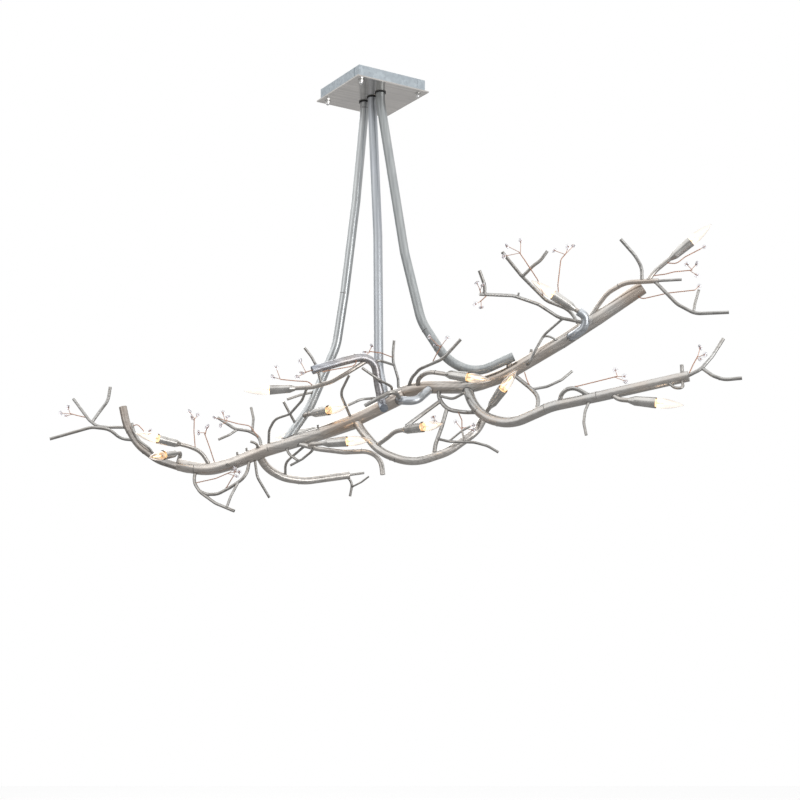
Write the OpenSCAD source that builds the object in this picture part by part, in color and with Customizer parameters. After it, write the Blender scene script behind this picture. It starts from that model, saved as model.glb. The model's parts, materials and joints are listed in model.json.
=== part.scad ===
// Branch chandelier: a crown of bent steel tube hung from a square canopy by
// three tubes, with welded twigs, copper stems, glass beads and twelve candle
// lamps. The origin is the middle of the canopy's top face, on the ceiling.
// X runs along the crown, Z is up, and all sizes are millimetres.

/* [Canopy] */
// Side of the square canopy box
box_side = 236; // [210:1:260]
// Height of the canopy box
box_h = 36; // [30:1:60]
// Sheet thickness of the canopy box
box_wall = 2; // [1:0.5:3]
// Side of the cover plate under the box
plate_side = 254; // [246:1:300]
// Thickness of the cover plate
plate_t = 4; // [2:0.5:8]
// Turn of the canopy against the crown, seen from above
canopy_turn = 32.5; // [0:0.5:45]
// Pitch circle of the ceiling screws
screw_pcd = 180; // [150:1:190]
// Bore of the ceiling screw holes
screw_hole_d = 6.5; // [4:0.5:9]
// Bore of the supply cable entry
cable_hole_d = 20; // [12:1:26]
// How far the studs stand in from the box sides
stud_inset = 16; // [12:1:20]
// Diameter of the four cover studs
stud_d = 6; // [4:0.5:8]
// Diameter of the cap nuts
cap_nut_d = 14; // [12:0.5:18]
// Height of the cap nuts
cap_nut_h = 13; // [10:0.5:20]

/* [Tubes] */
// From the ceiling down to the level that the crown is drawn at
drop = 990; // [700:5:1600]
// Diameter of the three suspension tubes
hanger_d = 28; // [22:1:32]
// Distance between the suspension tubes in the plate
hanger_pitch = 47.5; // [44:0.5:50]
// Diameter of the three main tubes
main_d = 40; // [34:1:44]
// Diameter of the lower right limb
limb_d = 30; // [26:1:34]
// Diameter of the slimmer limbs and arms
arm_d = 25; // [20:1:28]
// Diameter of the lamp rods
rod_d = 13; // [11:0.5:16]
// Diameter of the thick twigs
branch_d = 12; // [10:0.5:14]
// Diameter of the twigs
twig_d = 10; // [6:0.5:11]
// Wall of the hanging and main tubes
tube_wall = 2; // [1:0.25:3]
// Wall of the lamp rods
rod_wall = 1.5; // [1:0.25:2]
// Bend radius of every tube, in tube diameters
bend_ratio = 6; // [3:0.5:8]

/* [Lamps] */
// Length of a lamp sleeve
sleeve_len = 75; // [60:1:90]
// Diameter of a lamp sleeve at its base
sleeve_base_d = 26; // [24:0.5:28]
// Diameter of a lamp sleeve at its mouth
sleeve_mouth_d = 31; // [28:0.5:33]
// Wall of a lamp sleeve
sleeve_wall = 1; // [0.5:0.25:1.5]
// Diameter of the bulb's glass
bulb_d = 30; // [24:0.5:35]
// How far the bulb stands out of its sleeve
bulb_out = 75; // [60:1:90]
// Diameter of the bulb's screw cap
cap_d = 14; // [12:0.5:15]
// Length of the bulb's screw cap
cap_len = 22; // [16:1:26]

/* [Blossoms] */
// Diameter of the copper stems
stem_d = 3.5; // [2:0.25:5]
// Diameter of the wires that carry the beads
wire_d = 1.8; // [1:0.1:2.5]
// Diameter of a glass bead
bead_d = 18; // [10:0.5:20]

/* [Hidden] */

ROUND = 32;          // sides that stand for a round section
BEND = 256;          // sides that stand for a whole turn of a bend
swell = 0.1;         // how far a bend stands out over the straight tube
lap_rise = 0.02;     // how far a straight may leave the bend that it runs into
leg_share = 0.49;    // most of a leg that one bend may take
end_cap = 3;         // thickness of the disc that closes a tube's end
hair = 0.3;          // clearance between pieces that pass through each other
nut_rise = 18;       // how far the hanging tubes stand up into the box
hanger_straight = 30; // upright length of a hanging tube below the plate
stub_len = 12;       // lamp rod on the end of an arm
thin_d = 8;          // diameter of the thin twigs
wisp_d = 6;          // diameter of the thinnest twigs
cross_d = 15;        // diameter of the arm under the middle lamps
right_rod_d = 14;    // diameter of the rod above the right end
fit = 0.1;           // clearance of a thread in its nut
over = 1;            // how far a cutting shape stands out of what it cuts
dome = 0.8;          // diameter of a cap nut's dome, as a share of the nut
washer_t = 1.5;      // thickness of the washers
grommet_t = 3;       // thickness of the rings under the plate
grommet_rim = 3;     // how far these rings stand out from their tubes
nut_rim = 5;         // how far the tube nuts stand out from their tubes
nut_h = 8;           // height of the tube nuts
washer_rim = 4;      // how far the spring washers stand out from their tubes
washer_slit = 2;     // gap in a spring washer
screw_d = 5;         // diameter of the earth screw
block = [20, 60, 14]; // width, length and height of the terminal block
block_x = 60;        // from the canopy's middle to the terminal block
block_pitch = 18;    // distance between its terminals
terminal_d = 4;      // bore of its screw holes
lead_d = 5;          // diameter of the leads in the canopy
bundle_d = 6;        // diameter of the wires in the tubes
lamp_lead_d = 4;     // diameter of the lead in a lamp rod
lead_y = 9;          // depth of the canopy leads under the ceiling
lead_turn = 15;      // how far from its tube a canopy lead turns
tack_d = 16;         // diameter of the collars between tubes that lie side by side
tack_bore = 8;       // bore of these collars
wire_step = 4;       // distance between the bead wires along a stem
neck_len = 16;       // length of the cone at the foot of a sleeve
base_t = 2;          // thickness of the disc in the foot of a sleeve
nipple_wall = 1.5;   // wall of the nipples
nipple_in = 10;      // how far a nipple stands in its lamp rod
nipple_out = 18;     // how far it stands out into the lampholder
collar_d = 13.5;     // diameter of a nipple's collar
collar_h = 3;        // height of a nipple's collar
holder_d = 20;       // diameter of a lampholder
holder_z = 14;       // from the end of the rod to the lampholder
holder_inset = 8;    // from the mouth of a sleeve in to the lampholder
contact_t = 1;       // thickness of the contacts
glass_wall = 1;      // wall of a bulb's glass
thread_h = 2.8;      // pitch of the rings on a bulb's cap
thread_depth = 0.6;  // depth of these rings
cap_foot_r = 3;      // radius of the foot contact of a bulb's cap
cap_foot_h = 2;      // height of the slope over it
glass_foot = 0.72;   // radius of the glass at the mouth of its sleeve, in bulb radii
tip_t = 3;           // thickness of the glass in a bulb's tip
bulb_stem_d = 4;     // diameter of the stem inside a bulb
bulb_stem_h = 34;    // height of this stem
GLASS_STEPS = 14;    // steps along the glass

// ---- points along a route ----

function unit(v) = v / norm(v);
function between(a, b, t) = a + (b - a) * t;
function on(route, leg, t) = between(route[leg], route[leg + 1], t);
function last(list) = list[len(list) - 1];
function legs(route) = len(route) - 1;
function leg_dir(route, leg) = unit(route[leg + 1] - route[leg]);
function leg_len(route, leg) = norm(route[leg + 1] - route[leg]);
function corner(route, i) = i > 0 && i < legs(route);
function turn_at(route, i) = acos(max(-1, min(1, leg_dir(route, i - 1) * leg_dir(route, i))));

// radius of the bend at point i of a tube of diameter d
function radius_at(route, i, d) =
    min(bend_ratio * d,
        leg_share * min(leg_len(route, i - 1), leg_len(route, i)) / tan(turn_at(route, i) / 2));
// length of leg that this bend takes
function cut_at(route, i, d) = radius_at(route, i, d) * tan(turn_at(route, i) / 2);
function lap_at(route, i, d) = sqrt(2 * lap_rise * radius_at(route, i, d));

// from the end of a leg to where its straight length stops
function straight_end(route, i, d, trim) =
    corner(route, i) ? cut_at(route, i, d) - lap_at(route, i, d) : trim;

function leg_distance(p, a, b) =
    norm(p - between(a, b, max(0, min(1, (p - a) * (b - a) / ((b - a) * (b - a))))));
function nearest_leg(route, p) =
    let (far = [for (i = [0:legs(route) - 1]) leg_distance(p, route[i], route[i + 1])])
    [for (i = [0:legs(route) - 1]) if (far[i] == min(far)) i][0];

function in_canopy(x, y, z) =
    [x * cos(canopy_turn) - y * sin(canopy_turn), x * sin(canopy_turn) + y * cos(canopy_turn), z];

// ---- shapes that follow a route ----

module along(p, dir) {
    translate(p)
        rotate([0, acos(dir[2]), atan2(dir[1], dir[0])])
            children();
}

module in_frame(o, x, z) {
    y = cross(z, x);
    multmatrix([
        [x[0], y[0], z[0], o[0]],
        [x[1], y[1], z[1], o[1]],
        [x[2], y[2], z[2], o[2]],
        [0, 0, 0, 1],
    ])
        children();
}

// one bend of section d about the corner i of a tube of diameter tube_d
module bend_piece(route, i, d, tube_d) {
    r = radius_at(route, i, tube_d);
    u = leg_dir(route, i - 1);
    axis = unit(cross(u, leg_dir(route, i)));
    out = cross(u, axis);
    in_frame(route[i] - u * cut_at(route, i, tube_d) - out * r, out, axis)
        rotate_extrude(angle = turn_at(route, i), $fn = BEND)
            translate([r, 0])
                circle(d = d + 2 * swell, $fn = ROUND);
}

// a round section d along a route, bent as a tube of diameter tube_d is;
// trim shortens its two ends, first and final pick the legs
module run(route, d, tube_d, trim = [0, 0], first = 0, final = 999) {
    to = min(final, legs(route) - 1);
    from = max(first, 0);
    union() {
        for (i = [from:to]) {
            a = straight_end(route, i, tube_d, trim[0]);
            b = straight_end(route, i + 1, tube_d, trim[1]);
            along(route[i] + leg_dir(route, i) * a, leg_dir(route, i))
                cylinder(d = d, h = leg_len(route, i) - a - b, $fn = ROUND);
        }
        for (i = [from:to + 1])
            if (corner(route, i))
                bend_piece(route, i, d, tube_d);
    }
}

// the stretch of a tube that lies about the point p, or of its wire of diameter d
module stretch_at(tube, p, d = undef) {
    leg = nearest_leg(tube[0], p);
    run(tube[0], is_undef(d) ? tube[1] : d, tube[1], [0, 0], leg - 1, leg + 1);
}

// a solid rod or twig; its ends are mitred onto the tubes of other pieces that
// they meet, and run into those of its own piece
module sprout(twig, start = undef, finish = undef) {
    difference() {
        run(twig[0], twig[1], twig[1]);
        if (!is_undef(start))
            stretch_at(start, twig[0][0]);
        if (!is_undef(finish))
            stretch_at(finish, last(twig[0]));
    }
}

function bore(tube) = tube[1] - 2 * tube[2];

// the bore of a hollow tube, where it opens into the tube that carries it
module tap(tube, finish = false) {
    leg = finish ? legs(tube[0]) - 1 : 0;
    along(finish ? last(tube[0]) : tube[0][0], (finish ? -1 : 1) * leg_dir(tube[0], leg))
        cylinder(d = bore(tube), h = leg_len(tube[0], leg), $fn = ROUND);
}

// a hollow tube; its ends are closed unless they open into another
module hollow(tube, open) {
    difference() {
        run(tube[0], tube[1], tube[1]);
        run(tube[0], bore(tube), tube[1], [open[0] ? 0 : end_cap, open[1] ? 0 : end_cap]);
    }
}

// ---- the big tubes, in the crown's frame: the ceiling is at z = drop ----

MAIN_LEFT = [[[-600, 165, -180], [-505, 135, -200], [-425, 115, -180], [-330, 90, -145],
    [-150, 65, -95], [-45, 60, -60]], main_d, tube_wall];
MAIN_MIDDLE = [[[-150, 20, -100], [-35, 10, -55], [98, -10, 8]], main_d, tube_wall];
MAIN_RIGHT = [[[48, 45, 12], [145, 15, 40], [295, -45, 30], [395, -75, 60], [565, -125, 155],
    [665, -160, 217], [789, -190, 299]], main_d, tube_wall];
LEFT_END = [[on(MAIN_LEFT[0], 1, 0.6), [-570, 190, -195], [-675, 225, -160], [-745, 245, -110],
    [-785, 255, -45], [-800, 260, 15]], arm_d, tube_wall];
UPPER_ARM = [[[39, -75, -38], [32, -40, -18], [21, -45, 38], [12, -60, 101], [-26, -80, 116],
    [-100, -110, 91], [-170, -130, 66]], arm_d, tube_wall];
LOWER_LEFT = [[on(MAIN_LEFT[0], 2, 0.8), [-325, 130, -195], [-275, 165, -222],
    [-210, 195, -228], [-75, 240, -205]], arm_d, tube_wall];
LOWER_MIDDLE = [[on(MAIN_MIDDLE[0], 0, 0.88), [-28, -15, -96], [27, -50, -165],
    [121, -80, -203], [227, -85, -168], [310, -80, -107], [330, -60, -70]], arm_d, tube_wall];
LOWER_RIGHT = [[on(MAIN_RIGHT[0], 1, 0.93), [300, -75, -25], [333, -115, -72],
    [405, -165, -98], [515, -230, -55], [645, -290, -35], [875, -370, 8]], limb_d, tube_wall];
CURL = [[on(MAIN_RIGHT[0], 4, 0.12), [595, -168, 165], [620, -186, 182], [622, -194, 213],
    [600, -197, 227]],
    arm_d, tube_wall];
CROSS_ARM = [[on(MAIN_LEFT[0], 3, 0.5), [-162, 35, -146], [-80, 15, -158], [-7, 0, -156],
    [29, -5, -182], [35, -10, -228]], cross_d, rod_wall];
RIGHT_ROD = [[on(MAIN_RIGHT[0], 4, 0.6), [656, -165, 243], [687, -185, 284],
    [735, -210, 309], [827, -235, 308]], right_rod_d, rod_wall];
KNOT = [[on(MAIN_MIDDLE[0], 1, 0.85), [95, -50, -12], [135, -50, -12],
    on(MAIN_RIGHT[0], 1, 0.25)], arm_d, tube_wall];

HANGER_TOPS = [for (side = [1, 0, -1]) in_canopy(0, side * hanger_pitch, 0)];

// ---- hanging tubes: upright through the plate, then down to the crown, with a bend
// that stands out by bow at a share of the way to the first given point ----

top_z = drop - box_h + nut_rise;
straight_z = drop - box_h - plate_t - hanger_straight;
function hanger(top, share, bow, rest) = [concat(
    [[top[0], top[1], top_z], [top[0], top[1], straight_z],
        between([top[0], top[1], straight_z], rest[0], share) + bow],
    rest), hanger_d, tube_wall];

HANGER_LEFT = hanger(HANGER_TOPS[0], 0.5, [4, 2, 0], [[-85, 65, 345], [-110, 77, 180], [-190, 86, -10],
    on(MAIN_LEFT[0], 3, 0.33)]);
HANGER_MIDDLE = hanger(HANGER_TOPS[1], 0.5, [7, 0, 0], [[22, 0, 90], on(MAIN_MIDDLE[0], 1, 0.6)]);
HANGER_RIGHT = hanger(HANGER_TOPS[2], 0.69, [-12, 2, 0], [[150, -60, 225], [225, -68, 105],
    [310, -80, 65], [420, -102, 112]]);

// ---- lamp rods; each lamp sits on the end of its rod, in line with the last leg ----

// a straight run that prolongs a tube, from inside its closed end
function extended(tube, by) =
    let (dir = leg_dir(tube[0], legs(tube[0]) - 1))
    [last(tube[0]) - dir * (end_cap + 1), last(tube[0]) + dir * by];

LAMP_RODS = [
    [[on(RIGHT_ROD[0], 3, 0.68), [815, -226, 335], [861, -240, 372]], rod_d, rod_wall],
    [[on(LOWER_RIGHT[0], 5, 0.12), [690, -325, -50], [716, -335, -54]], rod_d, rod_wall],
    [extended(CURL, stub_len), rod_d, rod_wall],
    [[on(MAIN_RIGHT[0], 0, 0.95), [140, -30, 58], [168, -75, 72], [220, -105, 59]], rod_d, rod_wall],
    [[on(LOWER_MIDDLE[0], 5, 0.7), [333, -68, -58], [350, -91, -36]], rod_d, rod_wall],
    [[on(LOWER_MIDDLE[0], 1, 0.75), [50, -75, -125], [72, -98, -109], [95, -118, -108]], rod_d, rod_wall],
    [[on(HANGER_LEFT[0], 5, 0.25), [-200, 62, -38], [-182, 45, -37]], rod_d, rod_wall],
    [[on(CROSS_ARM[0], 0, 0.75), [-185, -12, -138], [-142, -24, -136]], rod_d, rod_wall],
    [[on(MAIN_LEFT[0], 4, 0.4), [-125, 105, -72], [-164, 120, -77]], rod_d, rod_wall],
    [[on(MAIN_LEFT[0], 1, 0.15), [-525, 118, -145], [-560, 106, -130], [-586, 88, -125]], rod_d, rod_wall],
    [[on(LEFT_END[0], 1, 0.4), [-600, 192, -138], [-610, 169, -143]], rod_d, rod_wall],
    [[on(UPPER_ARM[0], 3, 0.5), [-70, -90, 65], [-117, -80, 40], [-173, -78, 24],
        [-223, -80, 21]], rod_d, rod_wall],
];
LAMP_HOSTS = [RIGHT_ROD, LOWER_RIGHT, CURL, MAIN_RIGHT, LOWER_MIDDLE, LOWER_MIDDLE, HANGER_LEFT,
    CROSS_ARM, MAIN_LEFT, MAIN_LEFT, LEFT_END, UPPER_ARM];
LAMPS = [0:len(LAMP_RODS) - 1];

// ---- twigs; in each group: [twig, tube of another piece it grows from, and ends in] ----

END_DOWN = [[on(LEFT_END[0], 3, 0.25), [-800, 240, -90], [-835, 235, -60], [-890, 225, -55],
    [-1015, 205, -95]], twig_d];
END_UP = [[on(LEFT_END[0], 3, 0.9), [-845, 265, -50], [-885, 270, -45], [-910, 275, -25],
    [-965, 285, 45]], twig_d];
END_FORK = [[on(END_UP[0], 2, 0.6), [-880, 290, 5], [-855, 292, 40], [-850, 295, 85]], twig_d];
END_SIDE = [[on(LEFT_END[0], 2, 0.2), [-700, 215, -125], [-738, 225, -97], [-758, 235, -64],
    [-765, 240, -40]], thin_d];
TWIGS_LEFT_END = [[END_DOWN, LEFT_END], [END_UP, LEFT_END], [END_FORK],
    [END_SIDE, LEFT_END]];

UNDER_LONG = [[on(MAIN_LEFT[0], 0, 0.6), [-550, 132, -236], [-525, 115, -270],
    [-475, 95, -305], [-415, 75, -330]], twig_d];
UNDER_LOOP = [[on(MAIN_LEFT[0], 2, 0.55), [-380, 80, -225], [-430, 85, -258], [-470, 95, -278],
    [-505, 110, -277], on(UNDER_LONG[0], 1, 0.85)], twig_d];
UNDER_FORK = [[on(UNDER_LOOP[0], 1, 0.5), [-425, 65, -286], [-435, 52, -320]], thin_d];
UNDER_BACK = [[on(MAIN_LEFT[0], 2, 0.68), [-350, 100, -225], [-315, 130, -285]], thin_d];
TWIGS_LEFT_UNDER = [[UNDER_LONG, MAIN_LEFT], [UNDER_LOOP, MAIN_LEFT],
    [UNDER_FORK], [UNDER_BACK, MAIN_LEFT]];

TOP_LONG = [[on(MAIN_LEFT[0], 2, 0.93), [-345, 112, -100], [-380, 120, -80], [-425, 135, -72],
    [-480, 150, -35]], twig_d];
TOP_DOWN = [[on(TOP_LONG[0], 2, 0.8), [-440, 122, -92], [-473, 115, -108]], thin_d];
TOP_UP = [[on(TOP_LONG[0], 1, 0.7), [-367, 125, -40], [-376, 135, -5]], thin_d];
TOP_STUB = [[on(MAIN_LEFT[0], 2, 0.85), [-350, 70, -125], [-368, 64, -120]], thin_d];
TOP_HOOP = [[on(MAIN_LEFT[0], 3, 0.08), [-312, 62, -85], [-293, 42, -54], [-245, 10, -43],
    [-205, -45, -10], on(LAMP_RODS[11][0], 3, 0.3)], thin_d];
KNOB_FRONT = [[on(MAIN_LEFT[0], 1, 0.81), [-442, 85, -190]], thin_d];
KNOB_LOW = [[on(MAIN_LEFT[0], 2, 0.13), [-413, 103, -147]], wisp_d];
KNOB_HIGH = [[on(MAIN_LEFT[0], 2, 0.45), [-384, 96, -135]], wisp_d];
KNOB_FAR = [[on(MAIN_LEFT[0], 3, 0.93), [-164, 60, -69]], wisp_d];
TWIGS_LEFT_TOP = [[TOP_LONG, MAIN_LEFT], [TOP_DOWN], [TOP_UP],
    [TOP_STUB, MAIN_LEFT], [TOP_HOOP, MAIN_LEFT, LAMP_RODS[11]], [KNOB_FRONT, MAIN_LEFT],
    [KNOB_LOW, MAIN_LEFT], [KNOB_HIGH, MAIN_LEFT], [KNOB_FAR, MAIN_LEFT]];

HANGER_TWIG = [[on(HANGER_LEFT[0], 5, 0.5), [-252, 60, -30], [-268, 45, 0]], thin_d];
HANGER_FORK = [[on(HANGER_LEFT[0], 4, 0.75), [-218, 55, 22], [-256, 40, 6]], thin_d];
LAMP_TWIG = [[on(LAMP_RODS[11][0], 2, 0.5), [-160, -88, 85], [-175, -100, 112],
    [-195, -110, 137]], thin_d];
BRONZE_TWIG = [[on(MAIN_MIDDLE[0], 0, 0.8), [-78, -20, -18], [-92, -40, 12], [-65, -60, 63]],
    thin_d];
LOW_HOOK = [[on(MAIN_LEFT[0], 3, 0.36), [-250, 60, -160], [-222, 45, -180]], thin_d];
LOW_BRIDGE = [[on(LOWER_LEFT[0], 2, 0.08), [-268, 140, -178], [-244, 110, -160],
    on(CROSS_ARM[0], 0, 0.5)], thin_d];
LOW_FORK = [[on(MAIN_LEFT[0], 3, 0.95), [-181, 100, -143], [-214, 115, -168],
    [-251, 128, -186]], thin_d];
TWIGS_MIDDLE_LEFT = [[HANGER_TWIG, HANGER_LEFT], [HANGER_FORK, HANGER_LEFT],
    [LAMP_TWIG, LAMP_RODS[11]], [BRONZE_TWIG, MAIN_MIDDLE], [LOW_HOOK, MAIN_LEFT],
    [LOW_BRIDGE, LOWER_LEFT, CROSS_ARM], [LOW_FORK, MAIN_LEFT]];

MAST = [[on(MAIN_RIGHT[0], 0, 0.35), [80, 22, 67], [65, 10, 117], [65, 5, 147], [68, 0, 180]],
    thin_d];
MAST_STAY = [[on(UPPER_ARM[0], 3, 0.2), [27, -62, 107], on(MAST[0], 1, 0.8)], thin_d];
ARM_CROSS = [[on(MAIN_RIGHT[0], 0, 0.12), [62, -28, 34], [27, -75, 45], [-25, -105, 77]], thin_d];
ARM_LOW = [[on(KNOT[0], 0, 0.6), [70, -75, 18], [-18, -78, -31]], branch_d];
ARM_PALE = [[on(UPPER_ARM[0], 1, 0.3), [-29, -88, -13], [-66, -95, -32]], thin_d];
TWIGS_UPPER_ARM = [[MAST, MAIN_RIGHT], [MAST_STAY, UPPER_ARM], [ARM_CROSS, MAIN_RIGHT],
    [ARM_LOW, KNOT], [ARM_PALE, UPPER_ARM]];

CENTRE_UP = [[on(MAIN_RIGHT[0], 0, 0.6), [122, -10, 65], [145, -40, 86], [212, -100, 105],
    [264, -120, 160]], twig_d];
CENTRE_LOW = [[on(MAIN_RIGHT[0], 1, 0.4), [200, -30, 0], [226, -42, -38], [278, -60, -48],
    on(LOWER_RIGHT[0], 1, 0.6)], branch_d];
CENTRE_DROP = [[on(CENTRE_LOW[0], 1, 0.95), [210, -52, -88], [190, -75, -145],
    on(LOWER_MIDDLE[0], 3, 0.6)], branch_d];
CENTRE_TAIL = [[on(CENTRE_DROP[0], 1, 0.7), [232, -108, -141], [301, -125, -145],
    [339, -130, -156], [370, -135, -175]], thin_d];
CENTRE_SPUR = [[on(CENTRE_LOW[0], 0, 0.8), [243, -55, -8], [275, -88, 6]], thin_d];
CENTRE_WISP = [[on(CENTRE_TAIL[0], 0, 0.9), [264, -110, -111], [290, -115, -97]], wisp_d];
CENTRE_TIE = [[on(CENTRE_WISP[0], 1, 0.1), on(CENTRE_TAIL[0], 1, 0.62)], wisp_d];
CENTRE_CLUB = [[on(CENTRE_LOW[0], 1, 0.25), [145, -70, -60], [105, -85, -92]], branch_d];
TWIGS_CENTRE = [[CENTRE_UP, MAIN_RIGHT], [CENTRE_LOW, MAIN_RIGHT, LOWER_RIGHT],
    [CENTRE_DROP, undef, LOWER_MIDDLE], [CENTRE_TAIL],
    [CENTRE_SPUR], [CENTRE_WISP], [CENTRE_TIE],
    [CENTRE_CLUB]];

FOOT_DOWN = [[on(LOWER_LEFT[0], 3, 0.93), [-64, 245, -230], [-72, 250, -272]], thin_d];
FOOT_FORK = [[on(FOOT_DOWN[0], 1, 0.3), [-35, 232, -228], [-12, 225, -211]], wisp_d];
FOOT_TIP = [extended(LOWER_LEFT, 50), thin_d];
TWIGS_LOW_CENTRE = [[FOOT_DOWN, LOWER_LEFT], [FOOT_FORK], [FOOT_TIP, LOWER_LEFT]];

LOW_ARC = [[on(LOWER_RIGHT[0], 4, 0.15), [542, -252, -16], [573, -270, -6],
    on(LOWER_RIGHT[0], 4, 0.85)], branch_d];
LOW_DROP = [[on(LOWER_RIGHT[0], 4, 0.8), [601, -290, -77], [595, -300, -110],
    [600, -310, -147]], thin_d];
LOW_HANDLE = [[on(MAIN_RIGHT[0], 3, 0.1), [463, -140, 13], [485, -170, -17],
    on(LOWER_RIGHT[0], 3, 0.63)], branch_d];
LOW_SWEEP = [[on(LOW_HANDLE[0], 1, 0.2), [511, -150, 14], [554, -150, 34], [586, -145, 61]],
    thin_d];
TWIGS_RIGHT_LOW = [[LOW_ARC, LOWER_RIGHT, LOWER_RIGHT], [LOW_DROP, LOWER_RIGHT],
    [LOW_HANDLE, MAIN_RIGHT, LOWER_RIGHT], [LOW_SWEEP]];

TIP_UP = [[on(LOWER_RIGHT[0], 5, 0.97), [908, -375, 26], [942, -370, 64], [976, -360, 114]],
    twig_d];
TIP_OUT = [[on(TIP_UP[0], 1, 0.1), [937, -390, 5], [965, -400, -7], [1009, -415, -5]], twig_d];
TIP_STUB = [[on(LOWER_RIGHT[0], 5, 0.93), [859, -360, 41]], twig_d];
TIP_LOOP = [[on(LOWER_RIGHT[0], 5, 0.75), [834, -385, -28], [855, -392, -28],
    on(LOWER_RIGHT[0], 5, 0.92)], thin_d];
ROD_UP = [[on(RIGHT_ROD[0], 3, 0.5), [782, -225, 350], [764, -225, 384], [721, -235, 431]],
    twig_d];
ROD_DOWN = [[on(RIGHT_ROD[0], 3, 0.88), [842, -245, 274], [874, -255, 235], [922, -265, 205],
    [1014, -280, 206]], twig_d];
ROD_FORK = [[on(ROD_DOWN[0], 2, 0.9), [923, -262, 236], [936, -258, 276]], thin_d];
ROD_TIP = [extended(RIGHT_ROD, 65), thin_d];
TWIGS_RIGHT_TIP = [[TIP_UP, LOWER_RIGHT], [TIP_OUT], [TIP_STUB, LOWER_RIGHT],
    [TIP_LOOP, LOWER_RIGHT, LOWER_RIGHT], [ROD_UP, RIGHT_ROD], [ROD_DOWN, RIGHT_ROD],
    [ROD_FORK], [ROD_TIP, RIGHT_ROD]];

CURL_LONG = [[on(CURL[0], 2, 0.4), [546, -180, 212], [486, -195, 248], [413, -210, 270],
    [313, -230, 270]], twig_d];
CURL_UP = [[on(MAIN_RIGHT[0], 4, 0.5), [585, -130, 246], [515, -140, 271], [441, -150, 345],
    [385, -165, 412]], twig_d];
CURL_FORK = [[on(CURL_UP[0], 2, 0.95), [474, -165, 369], [497, -170, 385], [516, -175, 412]],
    twig_d];
CURL_THORN = [[on(CURL_LONG[0], 3, 0.85), [329, -235, 294], [313, -245, 336]], twig_d];
CURL_STAY = [[on(MAIN_RIGHT[0], 3, 0.38), [461, -122, 82], [480, -135, 123], [506, -140, 169],
    on(CURL_LONG[0], 0, 0.85)], thin_d];
CURL_HOOK = [[on(CURL_STAY[0], 2, 0.9), [522, -138, 166], [542, -138, 154],
    on(MAIN_RIGHT[0], 3, 0.96)], wisp_d];
CURL_BUD = [[on(CURL_LONG[0], 2, 0.82), [428, -211, 279]], wisp_d];
KNOB_RIGHT = [[on(MAIN_RIGHT[0], 3, 0.42), [473, -99, 134]], thin_d];
TWIGS_RIGHT_TOP = [[CURL_LONG, CURL], [CURL_UP, MAIN_RIGHT], [CURL_FORK],
    [CURL_THORN], [CURL_STAY, MAIN_RIGHT], [CURL_HOOK, undef, MAIN_RIGHT], [CURL_BUD],
    [KNOB_RIGHT, MAIN_RIGHT]];

// ---- blossoms: [stem route, what it grows from, the beads round its end] ----

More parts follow.
